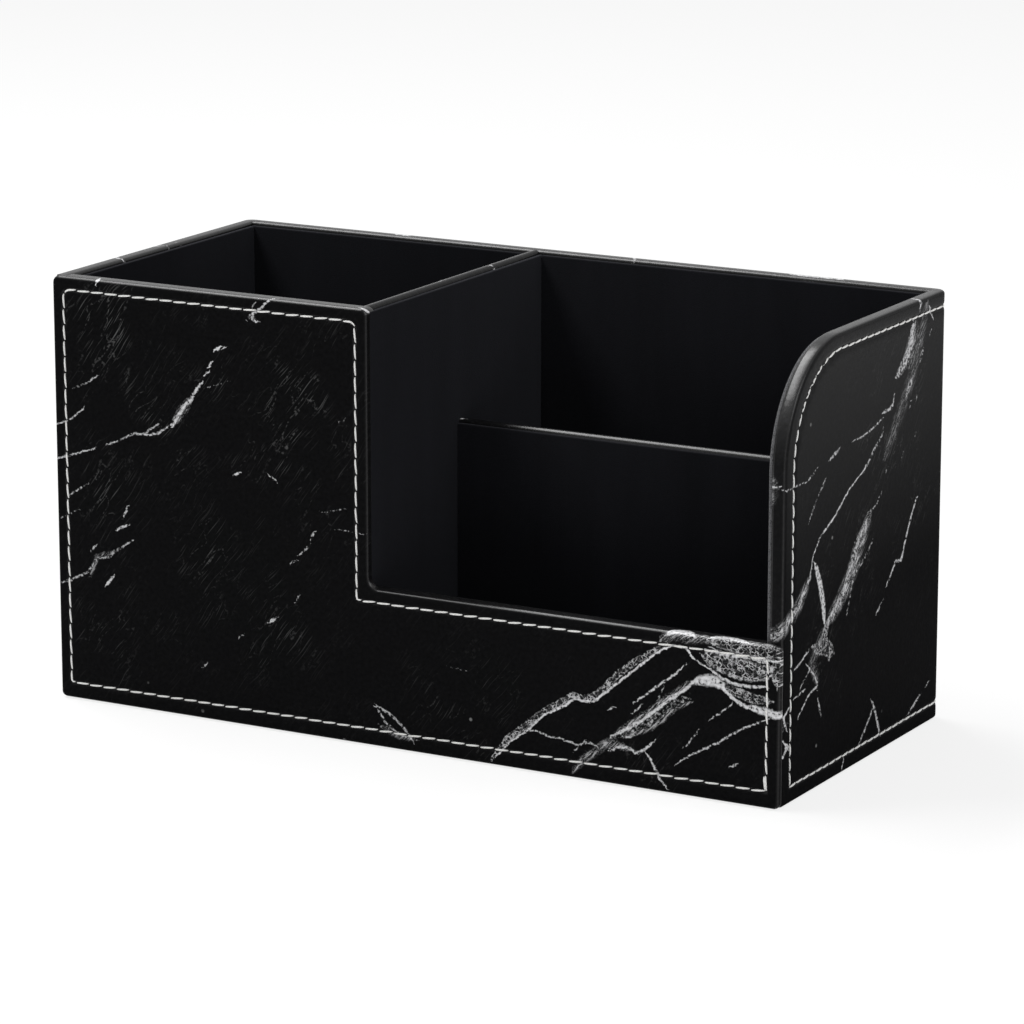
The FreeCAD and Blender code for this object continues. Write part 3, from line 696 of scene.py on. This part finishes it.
# On the wrap, as (length along the strip from the right front edge, height)
RIGHT_LINES = [
    (0.35, 0.85, [(47.5, 80), (37.5, 76), (29.5, 71), (20.5, 67), (16.5, 63), (15.5, 59.5)]),
    (1.3, 0.9, [(18, 60.5), (20.5, 56), (23, 49.5), (24, 44)]),
    (0.9, 0.65, [(15.5, 59), (13, 55.5), (8.5, 51.5), (2, 48.5), (-4.5, 44.5)]),
    (1.5, 0.6, [(48, 65), (42.5, 60.5), (39.5, 55), (37, 51.5), (33.5, 47.5), (26, 43.5)]),
    (0.5, 0.55, [(52.5, 59), (47.5, 55.5), (41.5, 52.5), (40, 49), (37.5, 43)]),
    (0.3, 0.6, [(57.5, 71), (54.5, 68.5), (50, 67.5)]),
    (0.35, 0.8, [(14.5, 38.5), (10, 36.5), (7, 35.5)]),
    (0.4, 0.8, [(14, 35), (19, 30.5), (20.5, 28), (15, 26.5), (9.5, 22.5)]),
    (0.6, 0.7, [(21, 23.5), (22.5, 20)]), (0.35, 0.8, [(7, 28), (12.5, 28.5)]),
    (0.5, 0.8, [(80, 65), (77, 61), (74, 56), (71, 50), (67.5, 50.5), (64, 47), (62, 45.5)]),
    (0.35, 0.7, [(59.5, 41.5), (56, 39)]), (0.6, 0.8, [(54, 15.5), (56, 12.5), (59.5, 5)]),
    (0.5, 0.75, [(54, 12.5), (51.5, 10), (47, 6)]), (0.45, 0.75, [(85, 9.5), (77.5, 6)]),
    (0.4, 0.7, [(90, 11.6), (89, 11)]), (0.4, 0.7, [(23, 81.5), (20, 79)]),
    (0.3, 0.55, [(20, 79), (14, 73)]), (0.3, 0.6, [(18, 85.5), (13, 83.5), (-1, 83.5)]),
    (1.9, 0.7, [(75.5, 112.5), (75, 110), (73.5, 106), (70, 103), (66.5, 101)]),
    (0.6, 0.85, [(81, 121), (80, 116.5)]), (0.6, 0.7, [(86, 116), (88, 112.5)]),
    (0.9, 0.6, [(82, 104.5), (81, 102.5)]), (1.2, 0.65, [(75.5, 98), (72.5, 95)]),
    (0.6, 0.7, [(64.5, 95.5), (63.5, 93), (58, 92.5)]),
    (0.3, 0.8, [(57.5, 91), (51, 89.5), (45, 88.5), (39.5, 88.5)]), (0.6, 0.7, [(31, 88), (26, 86.5)]),
    (0.5, 0.6, [(58, 88.5), (57.5, 86.5), (53, 84), (47, 79.5)]), (0.5, 0.5, [(87, 109), (86.6, 108)]),
    (0.5, 0.5, [(80.4, 107.5), (79.6, 106.5)]), (0.5, 0.5, [(75, 92), (74.4, 91)]),
    (0.4, 0.45, [(79.4, 93.5), (78.8, 92.5)]), (0.4, 0.45, [(66.6, 85.5), (66, 84.5)]),
    (0.4, 0.4, [(70.6, 79), (70, 78)]), (0.4, 0.4, [(60.8, 77), (60.2, 76)]),
    (0.4, 0.4, [(78.4, 82.6), (77.8, 81.6)]), (0.5, 0.8, [(-2, 84.2), (-4, 84)]),
    (0.45, 0.9, [(3.4, 26), (0.4, 24), (2.6, 20.5)]), (0.5, 0.9, [(0.4, 18), (3.2, 16), (0.2, 13.5)]),
    (0.4, 0.7, [(37, 3.6), (36, 1.6)]), (0.35, 0.7, [(16, 33.5), (10.5, 30)]),
    (0.9, 0.9, [(142, 120.2), (127, 120.2)]), (0.8, 0.9, [(266, 120.2), (262, 120.2)]),
]
RIGHT_NETS = [
    (1.8, 0.7, [(26, 43), (23, 39), (28, 35.5), (18, 38.5)]),
]
RIGHT_BRUSHES = [
    (2.4, 1.0, [(14, 57), (9, 52), (2, 48.5), (-4.5, 44.5)]),
    (3.3, 1.2, [(50, 66), (45, 60), (41, 54.5), (37.5, 51), (33, 47.5), (27, 44)]),
    (3.0, 0.4, [(84, 116), (80, 107), (75, 98), (67, 89), (60, 81)]),
    (2.4, 1.0, [(76.5, 112), (74.5, 107.5), (71, 104)]), (1.8, 0.8, [(77, 100), (73, 95.5)]),
    (2.2, 0.5, [(24, 42), (17, 35), (20, 29)]), (2.0, 0.5, [(-3.5, 86), (-4, 80)]),
    (1.3, 0.6, [(-2, 36), (-3, 33), (-2.5, 29)]), (1.0, 0.5, [(2, 22), (-3, 20)]),
]
# The back and the left are out of the photograph, and carry veins of the same kind
HIDDEN_LINES = [
    (0.5, 0.85, [(112, 26), (121, 31), (128, 40), (139, 45), (146, 55), (158, 60), (166, 71)]),
    (0.35, 0.75, [(139, 45), (151, 43), (163, 47), (172, 45)]),
    (0.9, 0.75, [(190, 121), (194, 110), (203, 102), (207, 92), (216, 86)]),
    (0.3, 0.7, [(216, 86), (224, 75), (235, 71), (241, 62)]),
    (0.4, 0.8, [(250, 0), (256, 10), (268, 17), (275, 28), (288, 33)]),
    (0.3, 0.6, [(275, 28), (284, 25), (296, 27)]),
    (0.35, 0.7, [(280, 104), (291, 96), (298, 85), (309, 79)]),
    (0.4, 0.8, [(330, 20), (338, 30), (349, 36), (356, 48), (368, 55), (375, 68)]),
    (0.3, 0.7, [(349, 36), (361, 34), (370, 38)]),
    (1.0, 0.75, [(386, 121), (383, 110), (376, 101), (372, 90)]),
    (0.35, 0.7, [(372, 90), (362, 82), (357, 70)]), (0.4, 0.85, [(395, 66), (404, 68.5), (415, 67.5)]),
    (0.4, 0.8, [(398, 30), (406, 32), (415, 32.5)]), (0.5, 0.8, [(366, 119), (364, 121)]),
    (0.5, 0.7, [(131, 96), (132, 97)]), (0.4, 0.6, [(176, 24), (177, 25)]),
    (0.5, 0.7, [(238, 101), (239.4, 102)]), (0.4, 0.6, [(322, 61), (323, 62)]),
]
HIDDEN_NETS = [
    (1.4, 0.85, [(127, 39), (139, 45.5), (146, 55), (158, 61)]),
    (1.3, 0.8, [(338, 31), (349, 37), (356, 48)]),
]
HIDDEN_BRUSHES = [
    (2.0, 0.9, [(193, 112), (203, 102), (208, 91), (216, 86)]),
    (1.4, 0.8, [(257, 11), (268, 18), (275, 28)]), (1.8, 0.9, [(384, 112), (376, 101), (372, 90)]),
]
# On the caps, as (length along the board, sideways place plus height)
PARTITION_LINES = [
    (0.6, 0.9, [(-46, 104), (-44, 103)]), (0.5, 0.8, [(-6, 104.5), (-4.5, 104.5)]),
    (0.5, 0.8, [(20, 105), (21.5, 104.8)]),
]
DIVIDER_LINES = [(0.6, 0.9, [(-11.5, 79.5), (-10, 79.5)])]


def front_leather():
    """The front's leather: an L with rolled edges, folded over the front board and under the box."""
    shape = bmesh.new()
    outline = [(FRONT_LOW.x, FRONT_LOW.z), (FRONT_HIGH.x, FRONT_LOW.z), (FRONT_HIGH.x, LOW_TOP),
               (STEP, LOW_TOP), (STEP, FRONT_HIGH.z), (FRONT_LOW.x, FRONT_HIGH.z)]
    corners = [shape.verts.new((x, FRONT_LOW.y, z)) for x, z in outline]
    shape.faces.new(corners)
    radii = (OUTER_CORNER, OUTER_CORNER, OUTER_CORNER, STEP_CORNER, TOP_CORNER, TOP_CORNER)
    for corner, radius in zip(corners, radii):
        rounded(shape, [corner], radius, 6, "VERTICES")
    rim = shape.edges[:]
    moved = drawn_out(shape, rim)
    bmesh.ops.translate(shape, vec=(0, CARD_BACK - FRONT_LOW.y, 0), verts=moved)
    rounded(shape, rim, EDGE_ROUND, 5)
    step_end = STEP + STEP_CORNER
    lining_right = node_box("pocket_right_lining")[0].x
    sliced(shape, 0, (WALL_LEFT, step_end, lining_right))
    sliced(shape, 0, (FRONT_LOW.x + TURN_UNDER, FRONT_HIGH.x - TURN_UNDER))
    creases = []
    for top, left, right in ((FRONT_HIGH.z, WALL_LEFT, STEP), (LOW_TOP, step_end, lining_right)):
        tall = top > LOW_TOP
        floor = top - TOP_CORNER - 0.05 if tall else top - CLOSE
        edges = boundary(shape, lambda co: co.z > floor and left - CLOSE < co.x < right + CLOSE)
        verts = drawn_out(shape, edges)
        bmesh.ops.translate(shape, vec=(0, BOARD_BACK - CARD_BACK, 0), verts=verts)
        crease = boundary(shape, lambda co: floor < co.z < top + CLOSE and near(co.y, BOARD_BACK))
        for vert in drawn_out(shape, crease):
            hub = Vector((min(vert.co.x, STEP - TOP_CORNER), vert.co.y, top - TOP_CORNER))
            inward = (hub - vert.co).normalized() if tall else Vector((0, 0, -1))
            vert.co += inward * TUCK + Vector((0, FLAP_LEAN, 0))
        creases += crease
    reach = TURN_UNDER - (CARD_BACK - FRONT_LOW.y)
    limit = FRONT_HIGH.x - TURN_UNDER + CLOSE
    foot = boundary(shape, lambda co: near(co.z, FRONT_LOW.z) and near(co.y, CARD_BACK)
                    and abs(co.x) < limit)
    bmesh.ops.translate(shape, vec=(0, reach, 0), verts=drawn_out(shape, foot))
    rounded(shape, creases, FOLD_ROUND, 3)
    ends = boundary(shape, lambda co: near(co.x, step_end) and co.y > CARD_BACK - CLOSE
                    and co.z < LOW_TOP + 0.1)
    bmesh.ops.translate(shape, vec=(-STEP_CORNER, 0, 0), verts=drawn_out(shape, ends))
    welded(shape, shape.verts)
    seam_x = (FRONT_LOW.x + FRONT_SEAM, STEP - FRONT_SEAM, FRONT_HIGH.x - FRONT_SEAM)
    seam_z = (SEAM_FOOT, LOW_TOP - FRONT_SEAM, FRONT_HIGH.z - FRONT_SEAM)
    sliced(shape, 2, rows(*FRONT_ROWS, seam_z))
    sliced(shape, 0, rows(*FRONT_COLUMNS, seam_x))
    faced_outward(shape, Vector((0, -1, 0)))
    flat = [vert for vert in shape.verts if near(vert.co.y, FRONT_LOW.y)]
    spots = np.array([(vert.co.x, vert.co.z) for vert in flat])
    for vert, sink in zip(flat, seam_sink(spots, front_seams())):
        vert.co.y += sink
    bmesh.ops.solidify(shape, geom=shape.faces[:], thickness=LEATHER)
    piece = finished("front_leather", shape, LEATHER_FINISH, "leather", "front_cover")
    points = points_of(piece)
    depth = points[:, 1] - FRONT_LOW.y
    spots = points[:, (0, 2)]
    top = np.where(points[:, 0] < STEP + 0.5, FRONT_HIGH.z, LOW_TOP)
    spots[:, 1] += np.where(points[:, 2] > top - EDGE_ROUND - 0.1, depth, 0)
    printed(piece, spots, polish(piece, depth), FRONT_SCRATCHES, FRONT_LINES, FRONT_NETS, FRONT_BRUSHES)


def strip_spot(x, y, z):
    """Where a point of the wrap lies on the flat strip, and how deep it is behind the strip's face."""
    gap_right, gap_left, gap_back = WRAP_HIGH.x - x, x - WRAP_LOW.x, WRAP_HIGH.y - y
    turn_y = WRAP_HIGH.y - REAR_ROUND
    mirrored = gap_left < gap_right
    side_gap = min(gap_left, gap_right)
    if side_gap < REAR_ROUND and gap_back < REAR_ROUND:
        across, behind = REAR_ROUND - side_gap, y - turn_y
        along = SIDE_RUN + REAR_ROUND * math.atan2(behind, across)
        depth = REAR_ROUND - math.hypot(across, behind)
    elif side_gap <= gap_back:
        along, depth = min(y, turn_y) - WRAP_LOW.y, side_gap
    else:
        along, depth = SIDE_RUN + BEND + side_gap - REAR_ROUND, gap_back
    height = z
    if depth > CLOSE:
        sweeps = not mirrored and y < SWEEP_Y and z > SWEEP_Z
        if sweeps:
            out = Vector((y - SWEEP_Y, z - SWEEP_Z)).normalized()
            along, height = along + out.x * depth, height + out.y * depth
        elif z > WRAP_HIGH.z - WRAP_ROUND - 0.1:
            height += depth
        elif z < WRAP_LOW.z + WRAP_ROUND:
            height -= depth
        else:
            along -= depth
    return (WRAP_RUN - along if mirrored else along), height, depth


def strip_place(along, height, out):
    """A point of the flat strip laid back round the box, that far outside its face."""
    mirrored = along > WRAP_RUN / 2
    along = WRAP_RUN - along if mirrored else along
    turn_x, turn_y = WRAP_HIGH.x - REAR_ROUND, WRAP_HIGH.y - REAR_ROUND
    if along <= SIDE_RUN:
        x, y = WRAP_HIGH.x + out, WRAP_LOW.y + along
    elif along <= SIDE_RUN + BEND:
        angle = (along - SIDE_RUN) / REAR_ROUND
        x = turn_x + (REAR_ROUND + out) * math.cos(angle)
        y = turn_y + (REAR_ROUND + out) * math.sin(angle)
    else:
        x, y = turn_x - (along - SIDE_RUN - BEND), WRAP_HIGH.y + out
    return Vector((-x if mirrored else x, y, height))


def wrap_leather():
    """One strip of leather round the left, back and right, folded over every free edge and the sweep."""
    shape = bmesh.new()
    plan = ((WRAP_HIGH.x, WRAP_LOW.y), (WRAP_HIGH.x, WRAP_HIGH.y), (WRAP_LOW.x, WRAP_HIGH.y),
            (WRAP_LOW.x, WRAP_LOW.y))
    feet = [shape.verts.new((x, y, WRAP_LOW.z)) for x, y in plan]
    path = [shape.edges.new(pair) for pair in zip(feet, feet[1:])]
    raised = drawn_out(shape, path)
    bmesh.ops.translate(shape, vec=(0, 0, WRAP_HIGH.z - WRAP_LOW.z), verts=raised)
    uprights = [edge for edge in shape.edges
                if all(near(vert.co.y, WRAP_HIGH.y) for vert in edge.verts)
                and near(edge.verts[0].co.x, edge.verts[1].co.x)]
    rounded(shape, uprights, REAR_ROUND, 6)
    peak = max(shape.verts, key=lambda vert: vert.co.x - vert.co.y + vert.co.z)
    rounded(shape, [peak], SWEEP, 30, "VERTICES")
    rim = [edge for edge in shape.edges if edge.is_boundary]
    verts = drawn_out(shape, rim)
    for vert in verts:
        vert.co.x = min(max(vert.co.x, WALL_LEFT), WALL_RIGHT)
        vert.co.y = min(vert.co.y, WALL_BACK)
    welded(shape, verts)
    under = boundary(shape, lambda co: near(co.z, WRAP_LOW.z))
    creases = [edge for edge in boundary(shape, lambda co: True) if edge not in under]
    for vert in drawn_out(shape, creases):
        if vert.co.x > 0 and vert.co.y < SWEEP_Y and vert.co.z > SWEEP_Z:
            inward = Vector((0, SWEEP_Y - vert.co.y, SWEEP_Z - vert.co.z)).normalized()
        else:
            inward = Vector((0, near(vert.co.y, WRAP_LOW.y), -near(vert.co.z, WRAP_HIGH.z)))
        vert.co += inward * TUCK
        vert.co.x *= 1 - FLAP_LEAN / WALL_RIGHT
        vert.co.y = min(vert.co.y, WALL_BACK - FLAP_LEAN)
    for vert in drawn_out(shape, under):
        vert.co.x = min(max(vert.co.x, WRAP_LOW.x + TURN_UNDER), WRAP_HIGH.x - TURN_UNDER)
        vert.co.y = min(vert.co.y, WRAP_HIGH.y - TURN_UNDER)
    rounded(shape, creases, FOLD_ROUND, 3)
    foot_ends = [edge for edge in shape.edges
                 if all(near(vert.co.y, WRAP_LOW.y) and near(vert.co.z, WRAP_LOW.z) for vert in edge.verts)]
    rounded(shape, rim + foot_ends, WRAP_ROUND, 6)
    welded(shape, shape.verts)
    faced_outward(shape, Vector((0, 1, 0)))
    seam_z = (SEAM_FOOT, WRAP_HIGH.z - SIDE_SEAM)
    sliced(shape, 2, rows(*WRAP_ROWS, seam_z))
    sliced(shape, 1, rows(*WRAP_DEPTHS, (WRAP_LOW.y + SIDE_SETBACK,)))
    sliced(shape, 0, rows(*WRAP_COLUMNS))
    shape.normal_update()
    outer = [(vert, strip_spot(*vert.co)) for vert in shape.verts]
    outer = [(vert, spot) for vert, spot in outer if abs(spot[2]) < CLOSE]
    spots = np.array([spot[:2] for vert, spot in outer])
    for (vert, spot), sink in zip(outer, seam_sink(spots, wrap_seams())):
        vert.co = strip_place(spot[0], spot[1], -sink)
    bmesh.ops.solidify(shape, geom=shape.faces[:], thickness=LEATHER)
    piece = finished("wrap_leather", shape, LEATHER_FINISH, "leather", "wrap_cover")
    spots = np.array([strip_spot(*point) for point in points_of(piece)])
    # More coat towards the top of the wrap, and through the finish's tint a painted sheen there: the colour
    # grows lighter towards the top
    rising_sheen = 0.34 * np.clip((spots[:, 1] - 45) / 73, 0, 1) ** 1.3
    printed(piece, spots[:, :2], np.maximum(polish(piece, spots[:, 2]), rising_sheen), WRAP_SCRATCHES,
            RIGHT_LINES + HIDDEN_LINES, RIGHT_NETS + HIDDEN_NETS, RIGHT_BRUSHES + HIDDEN_BRUSHES)


def sewn(name, seams, place, *nodes):
    """Stitches between the needle holes: bulged lengths of thread that dip into the leather."""
    shape = bmesh.new()
    ply = shape.verts.layers.float.new("ply")
    for seam in seams:
        pairs = list(zip(seam.holes, seam.holes[1:]))
        stitches = [(*pair, 0.0) for pair in pairs]
        stitches += [(*pair, TACK_ASIDE) for pair in pairs[:seam.tacked]]
        for start, end, beside in stitches:
            half = (end - start - STITCH_GAP) / 2
            lean = math.tan(math.radians(STITCH_LEAN + draw.uniform(-LEAN_SPREAD, LEAN_SPREAD)))
            shift = draw.uniform(-SHIFT_SPREAD, SHIFT_SPREAD) + beside
            made = bmesh.ops.create_uvsphere(shape, u_segments=THREAD_SIDES, v_segments=THREAD_SIDES,
                                             radius=1.0)
            for vert in made["verts"]:
                reach, wide, high = vert.co.z, vert.co.x, vert.co.y
                swell = max(1 - reach * reach, 1e-6) ** -END_FULLNESS
                forth = (start + end) / 2 + reach * half
                aside = wide * swell * THREAD_WIDE + lean * reach * half + shift
                lift = high * swell * THREAD_HIGH - THREAD_SUNK - END_DIP * reach ** 4
                vert[ply] = reach * half / PLY_LENGTH + math.atan2(high, wide) / math.pi
                way = seam.way(forth)
                spot = seam.at(forth) + Vector((-way.y, way.x)) * aside
                vert.co = place(spot.x, spot.y, lift)
    bmesh.ops.recalc_face_normals(shape, faces=shape.faces)
    finished(name, shape, THREAD_FINISH, "thread", *nodes)


def front_place(x, z, out):
    """A point of the front's print, that far outside its face."""
    return Vector((x, FRONT_LOW.y - out, z))


def flannel_card(node, outline=None, sweep=None, rub_and_sheen=RUB_AND_SHEEN_LITTLE):
    """A flannel-covered card: a flat piece with its edges softly rounded."""
    low, high = node_box(node)
    shape = bmesh.new()
    if outline is None:
        outline = [(low.y, low.z), (high.y, low.z), (high.y, high.z), (low.y, high.z)]
    corners = [shape.verts.new((low.x, y, z)) for y, z in outline]
    shape.faces.new(corners)
    if sweep:
        rounded(shape, [corners[sweep[0]]], sweep[1], 30, "VERTICES")
    made = bmesh.ops.extrude_face_region(shape, geom=shape.faces[:])
    bmesh.ops.translate(shape, vec=(high.x - low.x, 0, 0), verts=new_points(made))
    bmesh.ops.recalc_face_normals(shape, faces=shape.faces)
    sharp = [edge for edge in shape.edges if edge.calc_face_angle(0) > math.radians(40)]
    rounded(shape, sharp, CARD_ROUND, 3)
    welded(shape, shape.verts)
    piece = finished(node.replace("lining", "flannel"), shape, FLANNEL_FINISH, "flannel", node)
    points = points_of(piece)
    thin = min(range(3), key=lambda axis: high[axis] - low[axis])
    inside = np.minimum(points[:, thin] - low[thin], high[thin] - points[:, thin]) > CARD_SKIN
    stored(piece, "edge", inside * rub_and_sheen)


def linings():
    """The plain cards, then the two that are notched for the front, one of them swept too."""
    swept_corner = 3
    notched = {"pocket_left_lining": None, "pocket_right_lining": (swept_corner, SWEEP - LINING_DROP)}
    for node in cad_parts:
        if node.endswith("_lining") and node not in notched:
            flannel_card(node)
    ledge = LOW_TOP - LINING_DROP
    for node, sweep in notched.items():
        low, high = node_box(node)
        outline = [(BOARD_BACK, low.z), (high.y, low.z), (high.y, high.z), (low.y, high.z),
                   (low.y, ledge), (BOARD_BACK, ledge)]
        flannel_card(node, outline, sweep, RUB_AND_SHEEN_MUCH if sweep else RUB_AND_SHEEN_LITTLE)


def leather_cap(node, axis, ends, lines):
    """A strip of leather arched over a board's top edge, its ends tucked under the folds they meet."""
    low, high = node_box(node)
    low[axis] -= ends
    high[axis] += ends
    low[1 - axis] -= CAP_SPREAD
    high[1 - axis] += CAP_SPREAD
    high.z -= CAP_SINK
    arch = (high[1 - axis] - low[1 - axis]) / 2
    size = high - low
    shape = bmesh.new()
    bmesh.ops.create_cube(shape, size=1.0)
    bmesh.ops.scale(shape, vec=(size.x, size.y, arch), verts=shape.verts)
    ridge = [edge for edge in shape.edges if all(vert.co.z > 0 for vert in edge.verts)
             and not near(edge.verts[0].co[axis], edge.verts[1].co[axis])]
    rounded(shape, ridge, arch * 0.98, 8)
    bmesh.ops.scale(shape, vec=(1, 1, size.z / arch), verts=shape.verts)
    bmesh.ops.translate(shape, vec=(low + high) / 2, verts=shape.verts)
    for vert in shape.verts:
        if near(vert.co.z, low.z):
            vert.co.z -= TUCK - LINING_DROP
    sliced(shape, axis, rows(low[axis] + 1, high[axis] - 1, CAP_SPACING))
    piece = finished(node.replace("cap", "leather"), shape, LEATHER_FINISH, "leather", node)
    points = points_of(piece)
    spots = np.column_stack((points[:, axis], points[:, 1 - axis] + points[:, 2]))
    # On the partition's cap, more shine on its left-facing side: more coat there, and a painted highlight
    # in its colour through the finish
    shine = np.clip(0.8 - normals_of(piece)[:, 0] * 2.2, 0.4, 1.6) if axis else np.ones(len(spots))
    printed(piece, spots, shine, [], lines)


def base_felt():
    """The felt sheet that the box stands on, its edges pressed thin."""
    low, high = node_box("base_pad")
    shape = bmesh.new()
    bmesh.ops.create_cube(shape, size=1.0)
    bmesh.ops.scale(shape, vec=high - low, verts=shape.verts)
    bmesh.ops.translate(shape, vec=(low + high) / 2, verts=shape.verts)
    level = [edge for edge in shape.edges if near(edge.verts[0].co.z, edge.verts[1].co.z)]
    rounded(shape, level, FELT_ROUND, 3)
    finished("base_felt", shape, FELT_FINISH, "felt", "base_pad")


front_leather()
wrap_leather()
sewn("front_thread", front_seams(), front_place, "front_stitching")
sewn("wrap_thread", wrap_seams(), strip_place, "wrap_stitching")
linings()
leather_cap("partition_cap", 1, 0.9, PARTITION_LINES)
leather_cap("divider_cap", 0, 0.0, DIVIDER_LINES)
base_felt()

for name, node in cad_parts.items():
    if name.endswith("_board"):
        node.data.materials.clear()
        node.data.materials.append(BOARD_FINISH)
    elif name == "front_backing":
        node.data.materials.clear()
        node.data.materials.append(CARD_FINISH)


# Studio, in metres: a pale floor, a white surround, a soft lamp overhead and a weak one from the right
FLOOR_HALF = 5.0
FLOOR_GLOW = 0.78
LAMP_AIM = Vector((0, 0, 0.06))
LENS = 167.3
VIEW_TURN, VIEW_RISE = math.radians(29.12), math.radians(13.65)
VIEW_AIM = Vector((0.00420, 0.00102, 0.05526))
VIEW_AWAY = 1.291


def studio_floor():
    shape = bmesh.new()
    bmesh.ops.create_grid(shape, x_segments=1, y_segments=1, size=FLOOR_HALF)
    material = bpy.data.materials.new("studio_floor")
    material.use_nodes = True
    tree = material.node_tree
    tree.nodes.remove(tree.nodes["Principled BSDF"])
    start = Tone(tree)
    paper = start.node("ShaderNodeBsdfDiffuse", None, {"Color": (0.9, 0.9, 0.9, 1)})
    glow = start.node("ShaderNodeEmission", None, {"Color": (1, 1, 1, 1), "Strength": 1.0})
    seen = start.node("ShaderNodeLightPath", out="Is Camera Ray") * FLOOR_GLOW
    mixed = start.node("ShaderNodeMixShader", None, {0: seen, 1: paper, 2: glow})
    tree.links.new(mixed.socket, tree.nodes["Material Output"].inputs["Surface"])
    floor = placed("studio_floor", meshed("studio_floor", shape, material))


def surround(level):
    world = bpy.data.worlds.new("studio")
    world.use_nodes = True
    bpy.context.scene.world = world
    start = Tone(world.node_tree)
    rays = [start.node("ShaderNodeLightPath", out=name)
            for name in ("Is Camera Ray", "Is Glossy Ray", "Is Transmission Ray")]
    shown = rays[0].max(rays[1]).max(rays[2])
    backdrop = world.node_tree.nodes["Background"]
    backdrop.inputs["Color"].default_value = (1, 1, 1, 1)
    world.node_tree.links.new((level + shown * (1 - level)).socket, backdrop.inputs["Strength"])


def soft_lamp(name, place, long, wide, power):
    """A lit rectangle, its long side level, looking at the box."""
    lamp = bpy.data.lights.new(name, "AREA")
    lamp.shape = "RECTANGLE"
    lamp.size = long
    lamp.size_y = wide
    lamp.energy = power
    holder = placed(name, lamp)
    holder.location = place
    holder.rotation_euler = (LAMP_AIM - Vector(place)).to_track_quat("-Z", "Y").to_euler()


def photo_camera():
    """The photograph's viewpoint: a long lens, a little above the box and to its right."""
    camera = bpy.data.cameras.new("photo_camera")
    camera.lens = LENS
    camera.sensor_width = 36.0
    camera.clip_end = 50.0
    holder = placed("photo_camera", camera)
    level = math.cos(VIEW_RISE)
    back = Vector((math.sin(VIEW_TURN) * level, -math.cos(VIEW_TURN) * level, math.sin(VIEW_RISE)))
    holder.location = VIEW_AIM + back * VIEW_AWAY
    right = Vector((math.cos(VIEW_TURN), math.sin(VIEW_TURN), 0))
    axes = Matrix((right, back.cross(right), back)).transposed()
    holder.rotation_euler = axes.to_euler()
    bpy.context.scene.camera = holder


studio_floor()
surround(0.4)
soft_lamp("overhead_lamp", (-0.66, 0.0, 1.25), 1.4, 0.45, 22.0)
soft_lamp("right_lamp", (1.0, -0.35, 0.95), 0.8, 0.8, 7.5)
photo_camera()
bpy.context.scene.view_settings.view_transform = "Standard"
